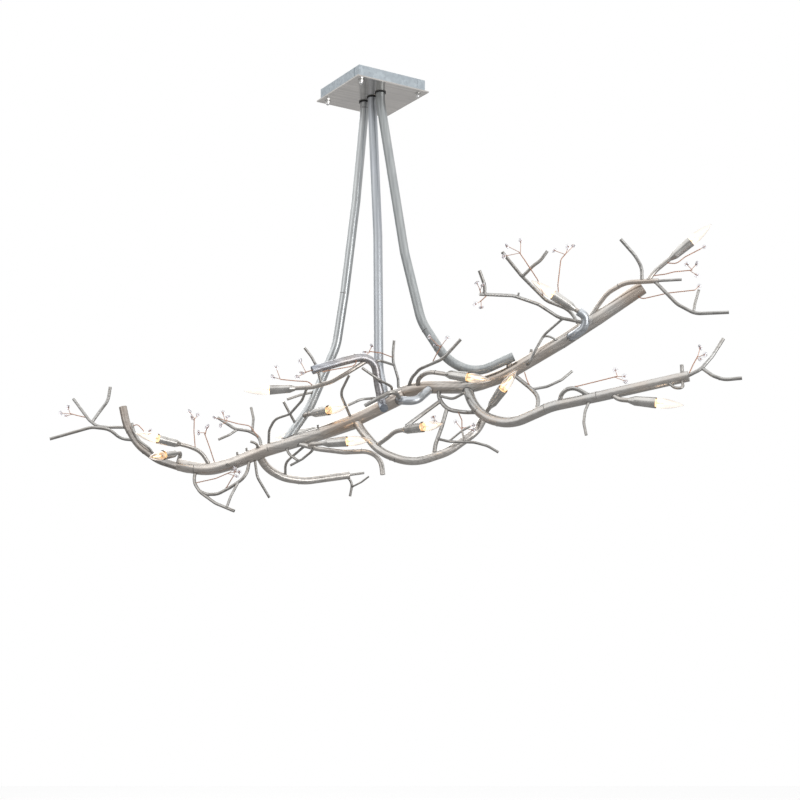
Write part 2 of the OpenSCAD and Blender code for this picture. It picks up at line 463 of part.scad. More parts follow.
BLOSSOMS = [
    [[on(END_UP[0], 3, 0.1), [-948, 272, -11], [-970, 270, -5]], END_UP,
        [[-977, 265, 15], [-999, 262, -5], [-986, 278, -12]]],
    [[on(END_SIDE[0], 3, 0.6), [-745, 225, -45], [-726, 215, -64], [-711, 205, -84]], END_SIDE,
        [[-700, 200, -70]]],
    [[on(LAMP_RODS[9][0], 1, 0.5), [-548, 112, -85], [-548, 112, -42]], LAMP_RODS[9],
        [[-563, 108, -22], [-538, 120, -30], [-553, 96, -42]]],
    [[on(MAIN_LEFT[0], 1, 0.32), [-500, 115, -130], [-516, 110, -87]], MAIN_LEFT,
        [[-534, 112, -87], [-510, 120, -72], [-505, 98, -69]]],
    [[on(UNDER_LONG[0], 1, 0.15), [-478, 112, -228], [-434, 105, -210]], UNDER_LONG,
        [[-421, 94, -200], [-404, 100, -209], [-415, 112, -222]]],
    [[on(UNDER_LOOP[0], 2, 0.4), [-430, 80, -240], [-418, 75, -222]], UNDER_LOOP,
        [[-414, 68, -206]]],
    [[on(TOP_LONG[0], 0, 0.8), [-376, 105, -66], [-413, 105, -60], [-456, 105, -48]], TOP_LONG,
        [[-485, 108, -41], [-459, 98, -26], [-446, 118, -36], [-465, 98, -66]]],
    [[on(LAMP_RODS[11][0], 2, 0.9), [-185, -86, 40], [-219, -90, 41], [-266, -95, 45]],
        LAMP_RODS[11], [[-279, -95, 81], [-288, -100, 51]]],
    [extended(UPPER_ARM, 20), UPPER_ARM, [[-205, -140, 92], [-198, -150, 55], [-213, -142, 44]]],
    [[on(UPPER_ARM[0], 4, 0.2), [-45, -115, 82], [-110, -128, 68], [-140, -137, 60]], UPPER_ARM,
        []],
    [[on(MAST[0], 2, 0.4), [29, -35, 135], [-6, -50, 137]], MAST,
        [[2, -55, 152], [-23, -52, 120], [-19, -41, 136]]],
    [[on(CENTRE_UP[0], 2, 0.52), [195, -95, 123], [209, -105, 145]], CENTRE_UP,
        [[225, -108, 166], [191, -96, 148], [172, -118, 168]]],
    [[on(CENTRE_LOW[0], 2, 0.6), [268, -80, -74], [267, -95, -104]], CENTRE_LOW,
        [[250, -84, -80], [302, -104, -92], [300, -115, -109]]],
    [[on(CENTRE_DROP[0], 0, 0.8), [197, -80, -85]], CENTRE_DROP, [[186, -94, -79], [184, -80, -65]]],
    [[on(LOW_ARC[0], 1, 0.9), [638, -283, 8], [693, -290, 21]], LOW_ARC,
        [[688, -292, 38], [712, -295, 20], [718, -282, 8]]],
    [[on(LOW_HANDLE[0], 1, 0.05), [455, -130, 40], [450, -120, 62]], LOW_HANDLE, []],
    [[on(TIP_UP[0], 0, 0.15), [887, -372, 38], [901, -375, 63]], TIP_UP,
        [[908, -376, 87], [919, -380, 66], [910, -366, 56]]],
    [[on(CURL_LONG[0], 3, 0.95), [314, -235, 284]], CURL_LONG, [[306, -240, 300], [322, -252, 292]]],
    [[on(CURL_LONG[0], 3, 0.75), [322, -228, 254], [315, -230, 248]], CURL_LONG,
        [[302, -232, 240], [318, -236, 230]]],
    [[on(CURL_UP[0], 2, 0.1), [486, -180, 325], [462, -192, 358], [447, -192, 382],
        [432, -190, 405]], CURL_UP, [[397, -190, 423], [388, -190, 392], [438, -188, 440]]],
    [[on(CURL_UP[0], 1, 0.45), [549, -145, 318], [558, -155, 392], [573, -158, 409]], CURL_UP,
        [[579, -162, 428], [538, -158, 418], [596, -148, 434]]],
    [[on(MAIN_RIGHT[0], 5, 0.85), [778, -205, 260], [855, -222, 275], [930, -238, 280]], MAIN_RIGHT,
        [[942, -238, 292]]],
    [[on(LAMP_RODS[0][0], 0, 0.6), [845, -245, 325], [870, -248, 331], [921, -252, 335]],
        LAMP_RODS[0], [[904, -256, 352], [934, -254, 354], [934, -252, 320]]],
    [[on(LAMP_RODS[0][0], 1, 0.7), [875, -260, 352], [898, -266, 370], [941, -275, 391]],
        LAMP_RODS[0], [[952, -277, 397]]],
];

// ---- how the tubes are joined ----

// hollow limbs, and the tube that carries each
LIMBS = [[LEFT_END, MAIN_LEFT], [LOWER_LEFT, MAIN_LEFT], [LOWER_MIDDLE, MAIN_MIDDLE],
    [LOWER_RIGHT, MAIN_RIGHT], [CURL, MAIN_RIGHT], [CROSS_ARM, MAIN_LEFT],
    [RIGHT_ROD, MAIN_RIGHT]];
// hanging tubes that open into a main tube
FEEDS = [[HANGER_LEFT, MAIN_LEFT], [HANGER_MIDDLE, MAIN_MIDDLE]];
// welded collars between two tubes that lie side by side
TACKS = [
    [MAIN_LEFT, on(MAIN_LEFT[0], 4, 0.6), MAIN_MIDDLE, on(MAIN_MIDDLE[0], 0, 0.5)],
    [MAIN_MIDDLE, on(MAIN_MIDDLE[0], 1, 0.72), MAIN_RIGHT, on(MAIN_RIGHT[0], 0, 0.22)],
    [UPPER_ARM, on(UPPER_ARM[0], 0, 0.6), MAIN_MIDDLE, on(MAIN_MIDDLE[0], 1, 0.48)],
    [HANGER_RIGHT, on(HANGER_RIGHT[0], 5, 0.85), MAIN_RIGHT, on(MAIN_RIGHT[0], 3, 0.1)],
];

module tack(t, d) {
    along(t[1], unit(t[3] - t[1]))
        cylinder(d = d, h = norm(t[3] - t[1]), $fn = ROUND);
}

// a tube with its bore, mitred onto its carriers and opened to all that it carries
module tube_shell(tube, open = [false, false], start = undef, finish = undef) {
    difference() {
        hollow(tube, open);
        if (!is_undef(start))
            stretch_at(start, tube[0][0]);
        if (!is_undef(finish))
            stretch_at(finish, last(tube[0]));
        for (l = LIMBS)
            if (l[1] == tube)
                tap(l[0]);
        for (f = FEEDS)
            if (f[1] == tube)
                tap(f[0], true);
        for (i = LAMPS)
            if (LAMP_HOSTS[i] == tube)
                tap(LAMP_RODS[i]);
        for (t = TACKS)
            if (t[0] == tube || t[2] == tube)
                tack(t, tack_bore);
    }
}

// the wire in a tube; it meets the wire of the carrier
module wire(tube, d, trim, start = undef, finish = undef) {
    difference() {
        run(tube[0], d, tube[1], trim);
        if (!is_undef(start))
            stretch_at(start, tube[0][0], bundle_d);
        if (!is_undef(finish))
            stretch_at(finish, last(tube[0]), bundle_d);
    }
}

module crown() {
    translate([0, 0, -drop])
        children();
}

module canopy() {
    rotate([0, 0, canopy_turn])
        children();
}

module twigs(group) {
    crown()
        for (t = group)
            sprout(t[0], t[1], t[2]);
}

// ---- canopy ----

stud_at = box_side / 2 - stud_inset;
plate_z = -box_h - plate_t;
hanger_in = [for (side = [1, 0, -1]) side * hanger_pitch];

module at_studs() {
    for (x = [-1, 1], y = [-1, 1])
        translate([x * stud_at, y * stud_at, 0])
            children();
}

module at_hangers() {
    for (y = hanger_in)
        translate([0, y, 0])
            children();
}

module ring(outer, inner, h, z) {
    translate([0, 0, z])
        difference() {
            cylinder(d = outer, h = h, $fn = ROUND);
            translate([0, 0, -over])
                cylinder(d = inner, h = h + 2 * over, $fn = ROUND);
        }
}

module canopy_box() {
    box_in = box_side - 2 * box_wall;
    color("silver")
        canopy()
            difference() {
                translate([-box_side / 2, -box_side / 2, -box_h])
                    cube([box_side, box_side, box_h]);
                translate([-box_in / 2, -box_in / 2, -box_h - over])
                    cube([box_in, box_in, box_h + over - box_wall]);
                for (a = [0:90:270])
                    rotate([0, 0, a])
                        translate([screw_pcd / 2, 0, -box_wall - over])
                            cylinder(d = screw_hole_d, h = box_wall + 2 * over, $fn = ROUND);
                translate([0, 0, -box_wall - over])
                    cylinder(d = cable_hole_d, h = box_wall + 2 * over, $fn = ROUND);
            }
}

module canopy_plate() {
    color("lightgray")
        canopy()
            difference() {
                translate([-plate_side / 2, -plate_side / 2, plate_z])
                    cube([plate_side, plate_side, plate_t]);
                at_hangers()
                    translate([0, 0, plate_z - over])
                        cylinder(d = hanger_d + 2 * hair, h = plate_t + 2 * over, $fn = ROUND);
                at_studs()
                    translate([0, 0, plate_z - over])
                        cylinder(d = stud_d + 2 * hair, h = plate_t + 2 * over, $fn = ROUND);
            }
}

stud_end = plate_z - washer_t - cap_nut_h / 2;

module canopy_studs() {
    color("silver")
        canopy()
            at_studs()
                translate([0, 0, stud_end])
                    cylinder(d = stud_d, h = -box_wall - stud_end, $fn = ROUND);
}

module stud_washers() {
    color("silver")
        canopy()
            at_studs()
                ring(cap_nut_d + 4, stud_d + 2 * hair, washer_t, plate_z - washer_t);
}

module cap_nuts() {
    dome_z = cap_nut_h - dome * cap_nut_d / 2;
    color("gainsboro")
        canopy()
            at_studs()
                translate([0, 0, plate_z - washer_t])
                    mirror([0, 0, 1])
                        difference() {
                            union() {
                                cylinder(d = cap_nut_d, h = cap_nut_h / 2, $fn = 6);
                                cylinder(d = dome * cap_nut_d, h = dome_z, $fn = ROUND);
                                translate([0, 0, dome_z])
                                    sphere(d = dome * cap_nut_d, $fn = ROUND);
                            }
                            translate([0, 0, -over])
                                cylinder(d = stud_d + 2 * fit, h = cap_nut_h / 2 + 2 * over,
                                    $fn = ROUND);
                        }
}

module tube_grommets() {
    color("black")
        canopy()
            at_hangers()
                ring(hanger_d + 2 * grommet_rim, hanger_d + 2 * fit, grommet_t,
                    plate_z - grommet_t);
}

module lock_washers() {
    color("silver")
        canopy()
            at_hangers()
                difference() {
                    ring(hanger_d + 2 * washer_rim, hanger_d + 2 * fit, washer_t, -box_h);
                    translate([0, -washer_slit / 2, -box_h - over])
                        cube([hanger_d, washer_slit, washer_t + 2 * over]);
                }
}

module tube_locknuts() {
    color("silver")
        canopy()
            at_hangers()
                difference() {
                    translate([0, 0, -box_h + washer_t])
                        cylinder(d = (hanger_d + 2 * nut_rim) / cos(30), h = nut_h, $fn = 6);
                    translate([0, 0, -box_h])
                        cylinder(d = hanger_d + 2 * fit, h = nut_h + washer_t + over, $fn = ROUND);
                }
}

module terminal_block() {
    color("white")
        canopy()
            difference() {
                translate([block_x - block[0] / 2, -block[1] / 2, -box_wall - block[2]])
                    cube(block);
                for (side = [-1, 1], k = [-1, 0, 1])
                    translate([block_x + side * block[0] / 4, k * block_pitch,
                        -box_wall - block[2] - over])
                        cylinder(d = terminal_d, h = block[2] / 2, $fn = ROUND);
            }
}

module earth_screw() {
    head_d = 2 * screw_d;
    head_h = 2 * washer_t;
    tag_len = 5 * screw_d;
    color("goldenrod")
        canopy()
            translate([-block_x, block_x, -box_wall]) {
                translate([0, 0, -head_h])
                    cylinder(d = screw_d, h = head_h, $fn = ROUND);
                translate([0, 0, -2 * head_h])
                    cylinder(d = head_d, h = head_h, $fn = ROUND);
                translate([-head_d / 2, -head_d / 2, -head_h])
                    cube([head_d, tag_len, washer_t]);
            }
}

lead_end = -box_h + nut_rise - lead_d;

// one lead, from its terminal to the mouth of its tube
function canopy_lead(k) = concat(
    [[block_x - block[0] / 2, k * block_pitch, -lead_y]],
    k == 0 ? [] : [[block_x - block[0], k * block_pitch, -lead_y],
        [lead_turn, k * hanger_pitch, -lead_y]],
    [[0, k * hanger_pitch, -lead_y], [0, k * hanger_pitch, lead_end]]);

module canopy_leads() {
    color("dimgray")
        canopy()
            for (k = [-1, 0, 1])
                run(canopy_lead(k), lead_d, lead_d);
}

// ---- tubes ----

module hanger_left() {
    color("silver")
        crown()
            tube_shell(HANGER_LEFT, [true, true], undef, MAIN_LEFT);
}

module hanger_middle() {
    color("silver")
        crown()
            tube_shell(HANGER_MIDDLE, [true, true], undef, MAIN_MIDDLE);
}

module hanger_right() {
    color("silver")
        crown()
            tube_shell(HANGER_RIGHT, [true, false]);
}

wire_gap = end_cap + 2;

module hanger_wires() {
    color("dimgray")
        crown() {
            wire(HANGER_LEFT, bundle_d, [lead_d, 0], undef, MAIN_LEFT);
            wire(HANGER_MIDDLE, bundle_d, [lead_d, 0], undef, MAIN_MIDDLE);
            wire(HANGER_RIGHT, bundle_d, [lead_d, wire_gap]);
        }
}

module main_left() {
    color("darkgray")
        crown()
            tube_shell(MAIN_LEFT);
}

module main_middle() {
    color("darkgray")
        crown()
            tube_shell(MAIN_MIDDLE);
}

module main_right() {
    color("darkgray")
        crown()
            tube_shell(MAIN_RIGHT);
}

module left_end_tube() {
    color("silver")
        crown()
            tube_shell(LEFT_END, [true, false], MAIN_LEFT);
}

module upper_arm() {
    color("silver")
        crown()
            tube_shell(UPPER_ARM);
}

module lower_left_limb() {
    color("gray")
        crown()
            tube_shell(LOWER_LEFT, [true, false], MAIN_LEFT);
}

module lower_middle_limb() {
    color("gray")
        crown()
            tube_shell(LOWER_MIDDLE, [true, false], MAIN_MIDDLE);
}

module lower_right_limb() {
    color("gray")
        crown()
            tube_shell(LOWER_RIGHT, [true, false], MAIN_RIGHT);
}

module curl_arm() {
    color("lightsteelblue")
        crown()
            tube_shell(CURL, [true, false], MAIN_RIGHT);
}

module cross_arm() {
    color("gray")
        crown()
            tube_shell(CROSS_ARM, [true, false], MAIN_LEFT);
}

module right_rod() {
    color("gray")
        crown()
            tube_shell(RIGHT_ROD, [true, false], MAIN_RIGHT);
}

module joint_knot() {
    color("lightsteelblue")
        crown()
            sprout(KNOT, MAIN_MIDDLE, MAIN_RIGHT);
}

module weld_tacks() {
    color("gray")
        crown()
            for (t = TACKS)
                difference() {
                    tack(t, tack_d);
                    tack(t, tack_bore);
                    stretch_at(t[0], t[1]);
                    stretch_at(t[2], t[3]);
                }
}

module main_wires() {
    color("dimgray")
        crown() {
            for (tube = [MAIN_LEFT, MAIN_MIDDLE, MAIN_RIGHT, UPPER_ARM])
                wire(tube, bundle_d, [wire_gap, wire_gap]);
            for (tube = [LEFT_END, LOWER_MIDDLE, LOWER_RIGHT, CURL, CROSS_ARM, RIGHT_ROD])
                wire(tube, bundle_d, [0, wire_gap]);
            for (t = TACKS)
                difference() {
                    tack(t, lamp_lead_d);
                    stretch_at(HANGER_RIGHT, t[1], bundle_d);
                }
        }
}

// ---- twigs ----

module twigs_left_end() {
    color("dimgray")
        twigs(TWIGS_LEFT_END);
}

module twigs_left_under() {
    color("dimgray")
        twigs(TWIGS_LEFT_UNDER);
}

module twigs_left_top() {
    color("dimgray")
        twigs(TWIGS_LEFT_TOP);
}

module twigs_middle_left() {
    color("dimgray")
        twigs(TWIGS_MIDDLE_LEFT);
}

module twigs_upper_arm() {
    color("dimgray")
        twigs(TWIGS_UPPER_ARM);
}

module twigs_centre() {
    color("dimgray")
        twigs(TWIGS_CENTRE);
}

module twigs_low_centre() {
    color("dimgray")
        twigs(TWIGS_LOW_CENTRE);
}

module twigs_right_low() {
    color("dimgray")
        twigs(TWIGS_RIGHT_LOW);
}

module twigs_right_tip() {
    color("dimgray")
        twigs(TWIGS_RIGHT_TIP);
}

module twigs_right_top() {
    color("dimgray")
        twigs(TWIGS_RIGHT_TOP);
}

// ---- blossoms ----

// the wire of bead k, which leaves the stem a little below the one before it
module bead_wire(stem, beads, k) {
    start = last(stem) - k * wire_step * leg_dir(stem, legs(stem) - 1);
    along(start, unit(beads[k] - start))
        cylinder(d = wire_d, h = norm(beads[k] - start), $fn = ROUND);
}

module stems() {
    color("peru")
        crown()
            for (b = BLOSSOMS)
                sprout([b[0], stem_d], b[1]);
}

module bead_wires() {
    color("peru")
        crown()
            for (b = BLOSSOMS, k = [0:1:len(b[2]) - 1])
                difference() {
                    bead_wire(b[0], b[2], k);
                    stretch_at([b[0], stem_d], last(b[0]));
                }
}

module beads() {
    color("azure")
        crown()
            for (b = BLOSSOMS, k = [0:1:len(b[2]) - 1])
                difference() {
                    translate(b[2][k])
                        sphere(d = bead_d, $fn = ROUND);
                    bead_wire(b[0], b[2], k);
                }
}

// ---- lamps, along the axis of each from the end of its rod ----

mouth_r = sleeve_mouth_d / 2;
holder_top = sleeve_len - holder_inset;
cap_z = holder_top - cap_len;
nipple_d = rod_d - 2 * rod_wall - 2 * fit;

module at_lamp(i) {
    route = LAMP_RODS[i][0];
    crown()
        along(last(route), leg_dir(route, legs(route) - 1))
            children();
}

module lamp_rods() {
    color("gray")
        crown()
            for (i = LAMPS)
                tube_shell(LAMP_RODS[i], [true, true], LAMP_HOSTS[i]);
}

module lamp_nipples() {
    color("goldenrod")
        for (i = LAMPS)
            at_lamp(i)
                difference() {
                    union() {
                        translate([0, 0, -nipple_in])
                            cylinder(d = nipple_d, h = nipple_in + nipple_out, $fn = ROUND);
                        translate([0, 0, base_t])
                            cylinder(d = collar_d, h = collar_h, $fn = ROUND);
                    }
                    translate([0, 0, -nipple_in - over])
                        cylinder(d = nipple_d - 2 * nipple_wall,
                            h = nipple_in + nipple_out + 2 * over, $fn = ROUND);
                }
}

module lamp_sleeves() {
    foot_r = rod_d / 2 + sleeve_wall;
    base_r = sleeve_base_d / 2;
    hole_r = nipple_d / 2 + hair;
    color("silver")
        for (i = LAMPS)
            at_lamp(i)
                rotate_extrude($fn = BEND)
                    polygon([[hole_r, 0], [foot_r, 0], [base_r, neck_len], [mouth_r, sleeve_len],
                        [mouth_r - sleeve_wall, sleeve_len], [base_r - sleeve_wall, neck_len],
                        [foot_r + base_t * (base_r - foot_r) / neck_len - sleeve_wall, base_t],
                        [hole_r, base_t]]);
}

module lampholders() {
    color("ivory")
        for (i = LAMPS)
            at_lamp(i)
                difference() {
                    translate([0, 0, holder_z])
                        cylinder(d = holder_d, h = holder_top - holder_z, $fn = ROUND);
                    translate([0, 0, cap_z - hair - contact_t])
                        cylinder(d = cap_d + 2 * hair, h = cap_len + contact_t + over, $fn = ROUND);
                    translate([0, 0, holder_z - over])
                        cylinder(d = nipple_d + 2 * fit, h = nipple_out - holder_z + over,
                            $fn = ROUND);
                    translate([0, 0, holder_z - over])
                        cylinder(d = lamp_lead_d + 2 * over, h = cap_z - holder_z, $fn = ROUND);
                }
}

module holder_contacts() {
    color("goldenrod")
        for (i = LAMPS)
            at_lamp(i)
                translate([0, 0, cap_z - hair - contact_t])
                    cylinder(d = cap_d - 2 * contact_t, h = contact_t, $fn = ROUND);
}

module lamp_leads() {
    color("dimgray")
        for (i = LAMPS) {
            crown()
                wire(LAMP_RODS[i], lamp_lead_d, [0, 0], LAMP_HOSTS[i]);
            at_lamp(i)
                translate([0, 0, -lead_d])
                    cylinder(d = lamp_lead_d + 2 * swell,
                        h = lead_d + cap_z - hair - contact_t, $fn = ROUND);
        }
}

function bezier(t, p) = pow(1 - t, 3) * p[0] + 3 * pow(1 - t, 2) * t * p[1]
    + 3 * (1 - t) * t * t * p[2] + t * t * t * p[3];

// outline of the glass, from the mouth of the sleeve to the tip, in radius r
function glass(r, out) = [for (k = [0:GLASS_STEPS])
    bezier(k / GLASS_STEPS, [[glass_foot * r, 0], [1.3 * r, 0.28 * out], [0.55 * r, 0.8 * out],
        [0.05 * r, out]])];

module bulb(i) {
    thread_z = cap_z + 2 * cap_foot_h;
    rings = floor((holder_top - thread_z - cap_foot_h) / thread_h);
    neck_r = glass_foot * bulb_d / 2;
    outside = glass(bulb_d / 2, bulb_out);
    color("lightyellow")
        at_lamp(i)
            rotate_extrude($fn = BEND)
                polygon(concat(
                    [[0, cap_z], [cap_foot_r, cap_z], [cap_foot_r + 1, cap_z + cap_foot_h],
                        [cap_d / 2 - 1, thread_z]],
                    [for (k = [0:rings - 1], s = [0, 1])
                        [cap_d / 2 - (s == 0 ? thread_depth : 0),
                            thread_z + (k + (s == 0 ? 0.2 : 0.7)) * thread_h]],
                    [[cap_d / 2 - thread_depth, holder_top], [neck_r, holder_top + 2]],
                    [for (p = outside) [p[0], p[1] + sleeve_len]],
                    [[0, sleeve_len + bulb_out], [0, sleeve_len + bulb_out - tip_t]],
                    [for (k = [GLASS_STEPS - 2:-1:0])
                        [max(outside[k][0] - glass_wall, hair),
                            outside[k][1] + sleeve_len - glass_wall]],
                    [[neck_r - glass_wall, holder_top + 4], [bulb_stem_d / 2, holder_top + 4],
                        [bulb_stem_d / 2, holder_top + bulb_stem_h],
                        [0, holder_top + bulb_stem_h]]
                ));
}

// ---- nodes ----

canopy_box();
canopy_plate();
canopy_studs();
cap_nuts();
stud_washers();
tube_grommets();
tube_locknuts();
lock_washers();
terminal_block();
earth_screw();
canopy_leads();
hanger_left();
hanger_middle();
hanger_right();
hanger_wires();
main_left();
main_middle();
main_right();
main_wires();
left_end_tube();
upper_arm();
lower_left_limb();
lower_middle_limb();
lower_right_limb();
curl_arm();
cross_arm();
right_rod();
joint_knot();
weld_tacks();
twigs_left_end();
twigs_left_under();
twigs_left_top();
twigs_middle_left();
twigs_upper_arm();
twigs_centre();
twigs_low_centre();
twigs_right_low();
twigs_right_tip();
twigs_right_top();
stems();
bead_wires();
beads();
lamp_rods();
lamp_nipples();
lamp_sleeves();
lampholders();
holder_contacts();
lamp_leads();
bulb(0);  // bulb_01
bulb(1);  // bulb_02
bulb(2);  // bulb_03
bulb(3);  // bulb_04
bulb(4);  // bulb_05
bulb(5);  // bulb_06
bulb(6);  // bulb_07
bulb(7);  // bulb_08
bulb(8);  // bulb_09
bulb(9);  // bulb_10
bulb(10);  // bulb_11
bulb(11);  // bulb_12
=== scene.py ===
"""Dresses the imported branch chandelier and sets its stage.

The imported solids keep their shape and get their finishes. Round them come the
pieces that a solid leaves plain: the beads of weld where tubes meet, twisted
copper stems, glass blossoms, folded seams on the canopy, and lit candle bulbs.
"""

from __future__ import annotations

import json
import logging
import math
from collections.abc import Sequence
from dataclasses import dataclass, field
from enum import Enum

import bmesh
import bpy
from mathutils import Matrix, Vector
from mathutils.bvhtree import BVHTree

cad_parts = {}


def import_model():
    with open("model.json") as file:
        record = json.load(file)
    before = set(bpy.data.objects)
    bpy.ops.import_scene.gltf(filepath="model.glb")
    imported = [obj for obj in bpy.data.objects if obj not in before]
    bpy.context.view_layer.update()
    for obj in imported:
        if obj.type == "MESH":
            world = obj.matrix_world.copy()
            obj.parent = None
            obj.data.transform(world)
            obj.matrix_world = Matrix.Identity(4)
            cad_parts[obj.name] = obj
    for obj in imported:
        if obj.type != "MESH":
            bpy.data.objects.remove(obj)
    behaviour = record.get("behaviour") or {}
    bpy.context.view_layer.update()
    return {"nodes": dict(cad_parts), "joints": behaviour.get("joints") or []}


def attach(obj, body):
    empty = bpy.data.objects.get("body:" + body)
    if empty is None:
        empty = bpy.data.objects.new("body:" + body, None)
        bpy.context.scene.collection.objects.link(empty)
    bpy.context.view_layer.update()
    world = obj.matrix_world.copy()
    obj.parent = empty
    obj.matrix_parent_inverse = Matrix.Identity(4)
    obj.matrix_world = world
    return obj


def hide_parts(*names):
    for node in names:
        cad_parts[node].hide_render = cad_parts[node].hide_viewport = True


LOG = logging.getLogger("chandelier")

Point = tuple[float, float, float]
Colour = tuple[float, float, float]
Sockets = dict[str | int, object]
Paint = bpy.types.NodeSocket | tuple[float, float, float, float]

ROOT = "chandelier"
# The turn between neighbours that are spread evenly over a ball, in radians.
GOLDEN_TURN = 2.39996


class Grain(Enum):
    """The way that the grain of a drawn or rolled metal runs."""

    ALONG = (1.0, 0.0, 0.0)
    UPRIGHT = (0.0, 0.0, 1.0)
    RISING = (0.87, -0.12, 0.48)
    FALLING = (0.86, -0.25, -0.45)
    SHEET = (0.87, 0.5, 0.0)


def mesh_object(name: str, mesh: bpy.types.Mesh) -> bpy.types.Object:
    """Links a mesh into the scene as an object at the origin.

    Args:
        name: The object's name.
        mesh: Its mesh.

    Returns:
        The new object.
    """
    piece = bpy.data.objects.new(name, mesh)
    bpy.context.scene.collection.objects.link(piece)
    return piece


def dress(
    piece: bpy.types.Object,
    body: str = ROOT,
    replaces: Sequence[str] = (),
) -> bpy.types.Object:
    """Puts a finished piece on its body and hides the solids that it stands for.

    Args:
        piece: The piece, in place.
        body: The body that it moves with.
        replaces: The solids that it stands for.

    Returns:
        The same piece.
    """
    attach(piece, body)
    if replaces:
        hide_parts(*replaces)
    LOG.info("%s: %d faces on %s", piece.name, len(piece.data.polygons), body)
    return piece


def finished(
    form: bmesh.types.BMesh, name: str, *finishes: bpy.types.Material
) -> bpy.types.Mesh:
    """Turns a form into a mesh with its finishes, and frees the form.

    Args:
        form: The form.
        name: The mesh's name.
        finishes: Its materials, in the order of the faces' numbers.

    Returns:
        The new mesh.
    """
    mesh = bpy.data.meshes.new(name)
    form.to_mesh(mesh)
    form.free()
    for finish in finishes:
        mesh.materials.append(finish)
    return mesh


def smooth(mesh: bpy.types.Mesh) -> bpy.types.Mesh:
    """Shades every face of a mesh smooth."""
    mesh.shade_smooth()
    return mesh


def lathe(name: str, profile: Sequence[tuple[float, float]], sides: int = 48) -> bpy.types.Mesh:
    """Turns a profile about Z into a closed mesh with its faces outward.

    Args:
        name: The mesh's name.
        profile: Points of radius and height, both ends on the axis.
        sides: The number of steps round the axis.

    Returns:
        The new mesh, with the height of each point as the attribute "height".
    """
    form = bmesh.new()
    rings: list[list[bmesh.types.BMVert]] = []
    for radius, height in profile:
        count = 1 if radius < 1e-6 else sides
        turns = [2 * math.pi * k / count for k in range(count)]
        ring = [(radius * math.cos(turn), radius * math.sin(turn), height) for turn in turns]
        rings.append([form.verts.new(point) for point in ring])
    for low, high in zip(rings, rings[1:]):
        for k in range(sides):
            corners = [
                low[k % len(low)],
                low[(k + 1) % len(low)],
                high[(k + 1) % len(high)],
                high[k % len(high)],
            ]
            form.faces.new(list(dict.fromkeys(corners)))
    bmesh.ops.recalc_face_normals(form, faces=form.faces)
    mesh = finished(form, name)
    point_numbers(mesh, "height", [v.co.z for v in mesh.vertices])
    return smooth(mesh)


def polylines(name: str, lines: Sequence[Sequence[Vector]]) -> bpy.types.Mesh:
    """Makes a mesh of loose edges that runs along each line.

    Args:
        name: The mesh's name.
        lines: The points of each line; one that closes ends on its first point.

    Returns:
        The new mesh.
    """
    points: list[Vector] = []
    edges: list[tuple[int, int]] = []
    for line in lines:
        first = len(points)
        shut = line[0] is line[-1]
        points += line[:-1] if shut else line
        edges += [(k, k + 1) for k in range(first, len(points) - 1)]
        if shut:
            edges.append((len(points) - 1, first))
    mesh = bpy.data.meshes.new(name)
    mesh.from_pydata([tuple(p) for p in points], edges, [])
    return mesh


def point_numbers(mesh: bpy.types.Mesh, name: str, values: Sequence[float]) -> None:
    """Gives each point of a mesh a number, under a name."""
    attribute = mesh.attributes.new(name, "FLOAT", "POINT")
    attribute.data.foreach_set("value", list(values))


class Skin:
    """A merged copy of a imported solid's surface, for measuring."""

    def __init__(self, node: bpy.types.Object) -> None:
        """Copies the surface of a node.

        Args:
            node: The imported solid.
        """
        self.form = bmesh.new()
        self.form.from_mesh(node.data)
        bmesh.ops.remove_doubles(self.form, verts=self.form.verts, dist=1e-6)
        self.form.normal_update()
        self.tree = BVHTree.FromBMesh(self.form)

    def islands(self) -> list[list[Vector]]:
        """Sorts the points into the separate solids that they belong to.

        Returns:
            The points of each solid.
        """
        seen: set[int] = set()
        found: list[list[Vector]] = []
        for start in self.form.verts:
            if start.index in seen:
                continue
            seen.add(start.index)
            island, edge = [], [start]
            while edge:
                point = edge.pop()
                island.append(point.co.copy())
                for other in (link.other_vert(point) for link in point.link_edges):
                    if other.index not in seen:
                        seen.add(other.index)
                        edge.append(other)
            found.append(island)
        return found

    def beside(self, edge: bmesh.types.BMEdge, face: bmesh.types.BMFace, reach: float) -> Vector:
        """Reads the surface's direction a little way from an edge.

        Args:
            edge: The edge.
            face: The face on the side that is looked at.
            reach: How far from the edge to look.

        Returns:
            The surface's normal there.
        """
        middle = (edge.verts[0].co + edge.verts[1].co) / 2
        across = face.normal.cross(edge.verts[1].co - edge.verts[0].co).normalized()
        if across.dot(face.calc_center_median() - middle) < 0:
            across.negate()
        return self.tree.find_nearest(middle + across * reach)[1]

    def middle(self, spot: Vector, way: Vector) -> Vector:
        """Centres a point in the round section of a wire.

        Args:
            spot: A point inside the wire.
            way: The way that the wire runs.

        Returns:
            The middle of the section across that way.
        """
        side = way.orthogonal().normalized()
        for _ in range(3):
            hits = []
            for k in range(12):
                ray = Matrix.Rotation(k * math.tau / 12, 3, way) @ side
                hit = self.tree.ray_cast(spot, ray)[0]
                if hit is not None:
                    hits.append(hit)
            if not hits:
                break
            spot = sum(hits, Vector()) / len(hits)
        return spot

    def walk(self, start: Vector, way: Vector, step: float) -> list[Vector]:
        """Follows the middle of a wire from one end to the other.

        Args:
            start: The middle of its first end.
            way: The way that it sets off.
            step: The distance between points.

        Returns:
            Points along its centreline.
        """
        line = [start]
        while True:
            ahead = self.tree.ray_cast(line[-1] + way * step / 10, way)
            if ahead[0] is None or ahead[3] < 1.3 * step:
                return line if ahead[0] is None else [*line, ahead[0]]
            line.append(self.middle(line[-1] + way * step, way))
            way = (line[-1] - line[-2]).normalized()


# ---- finishes ----


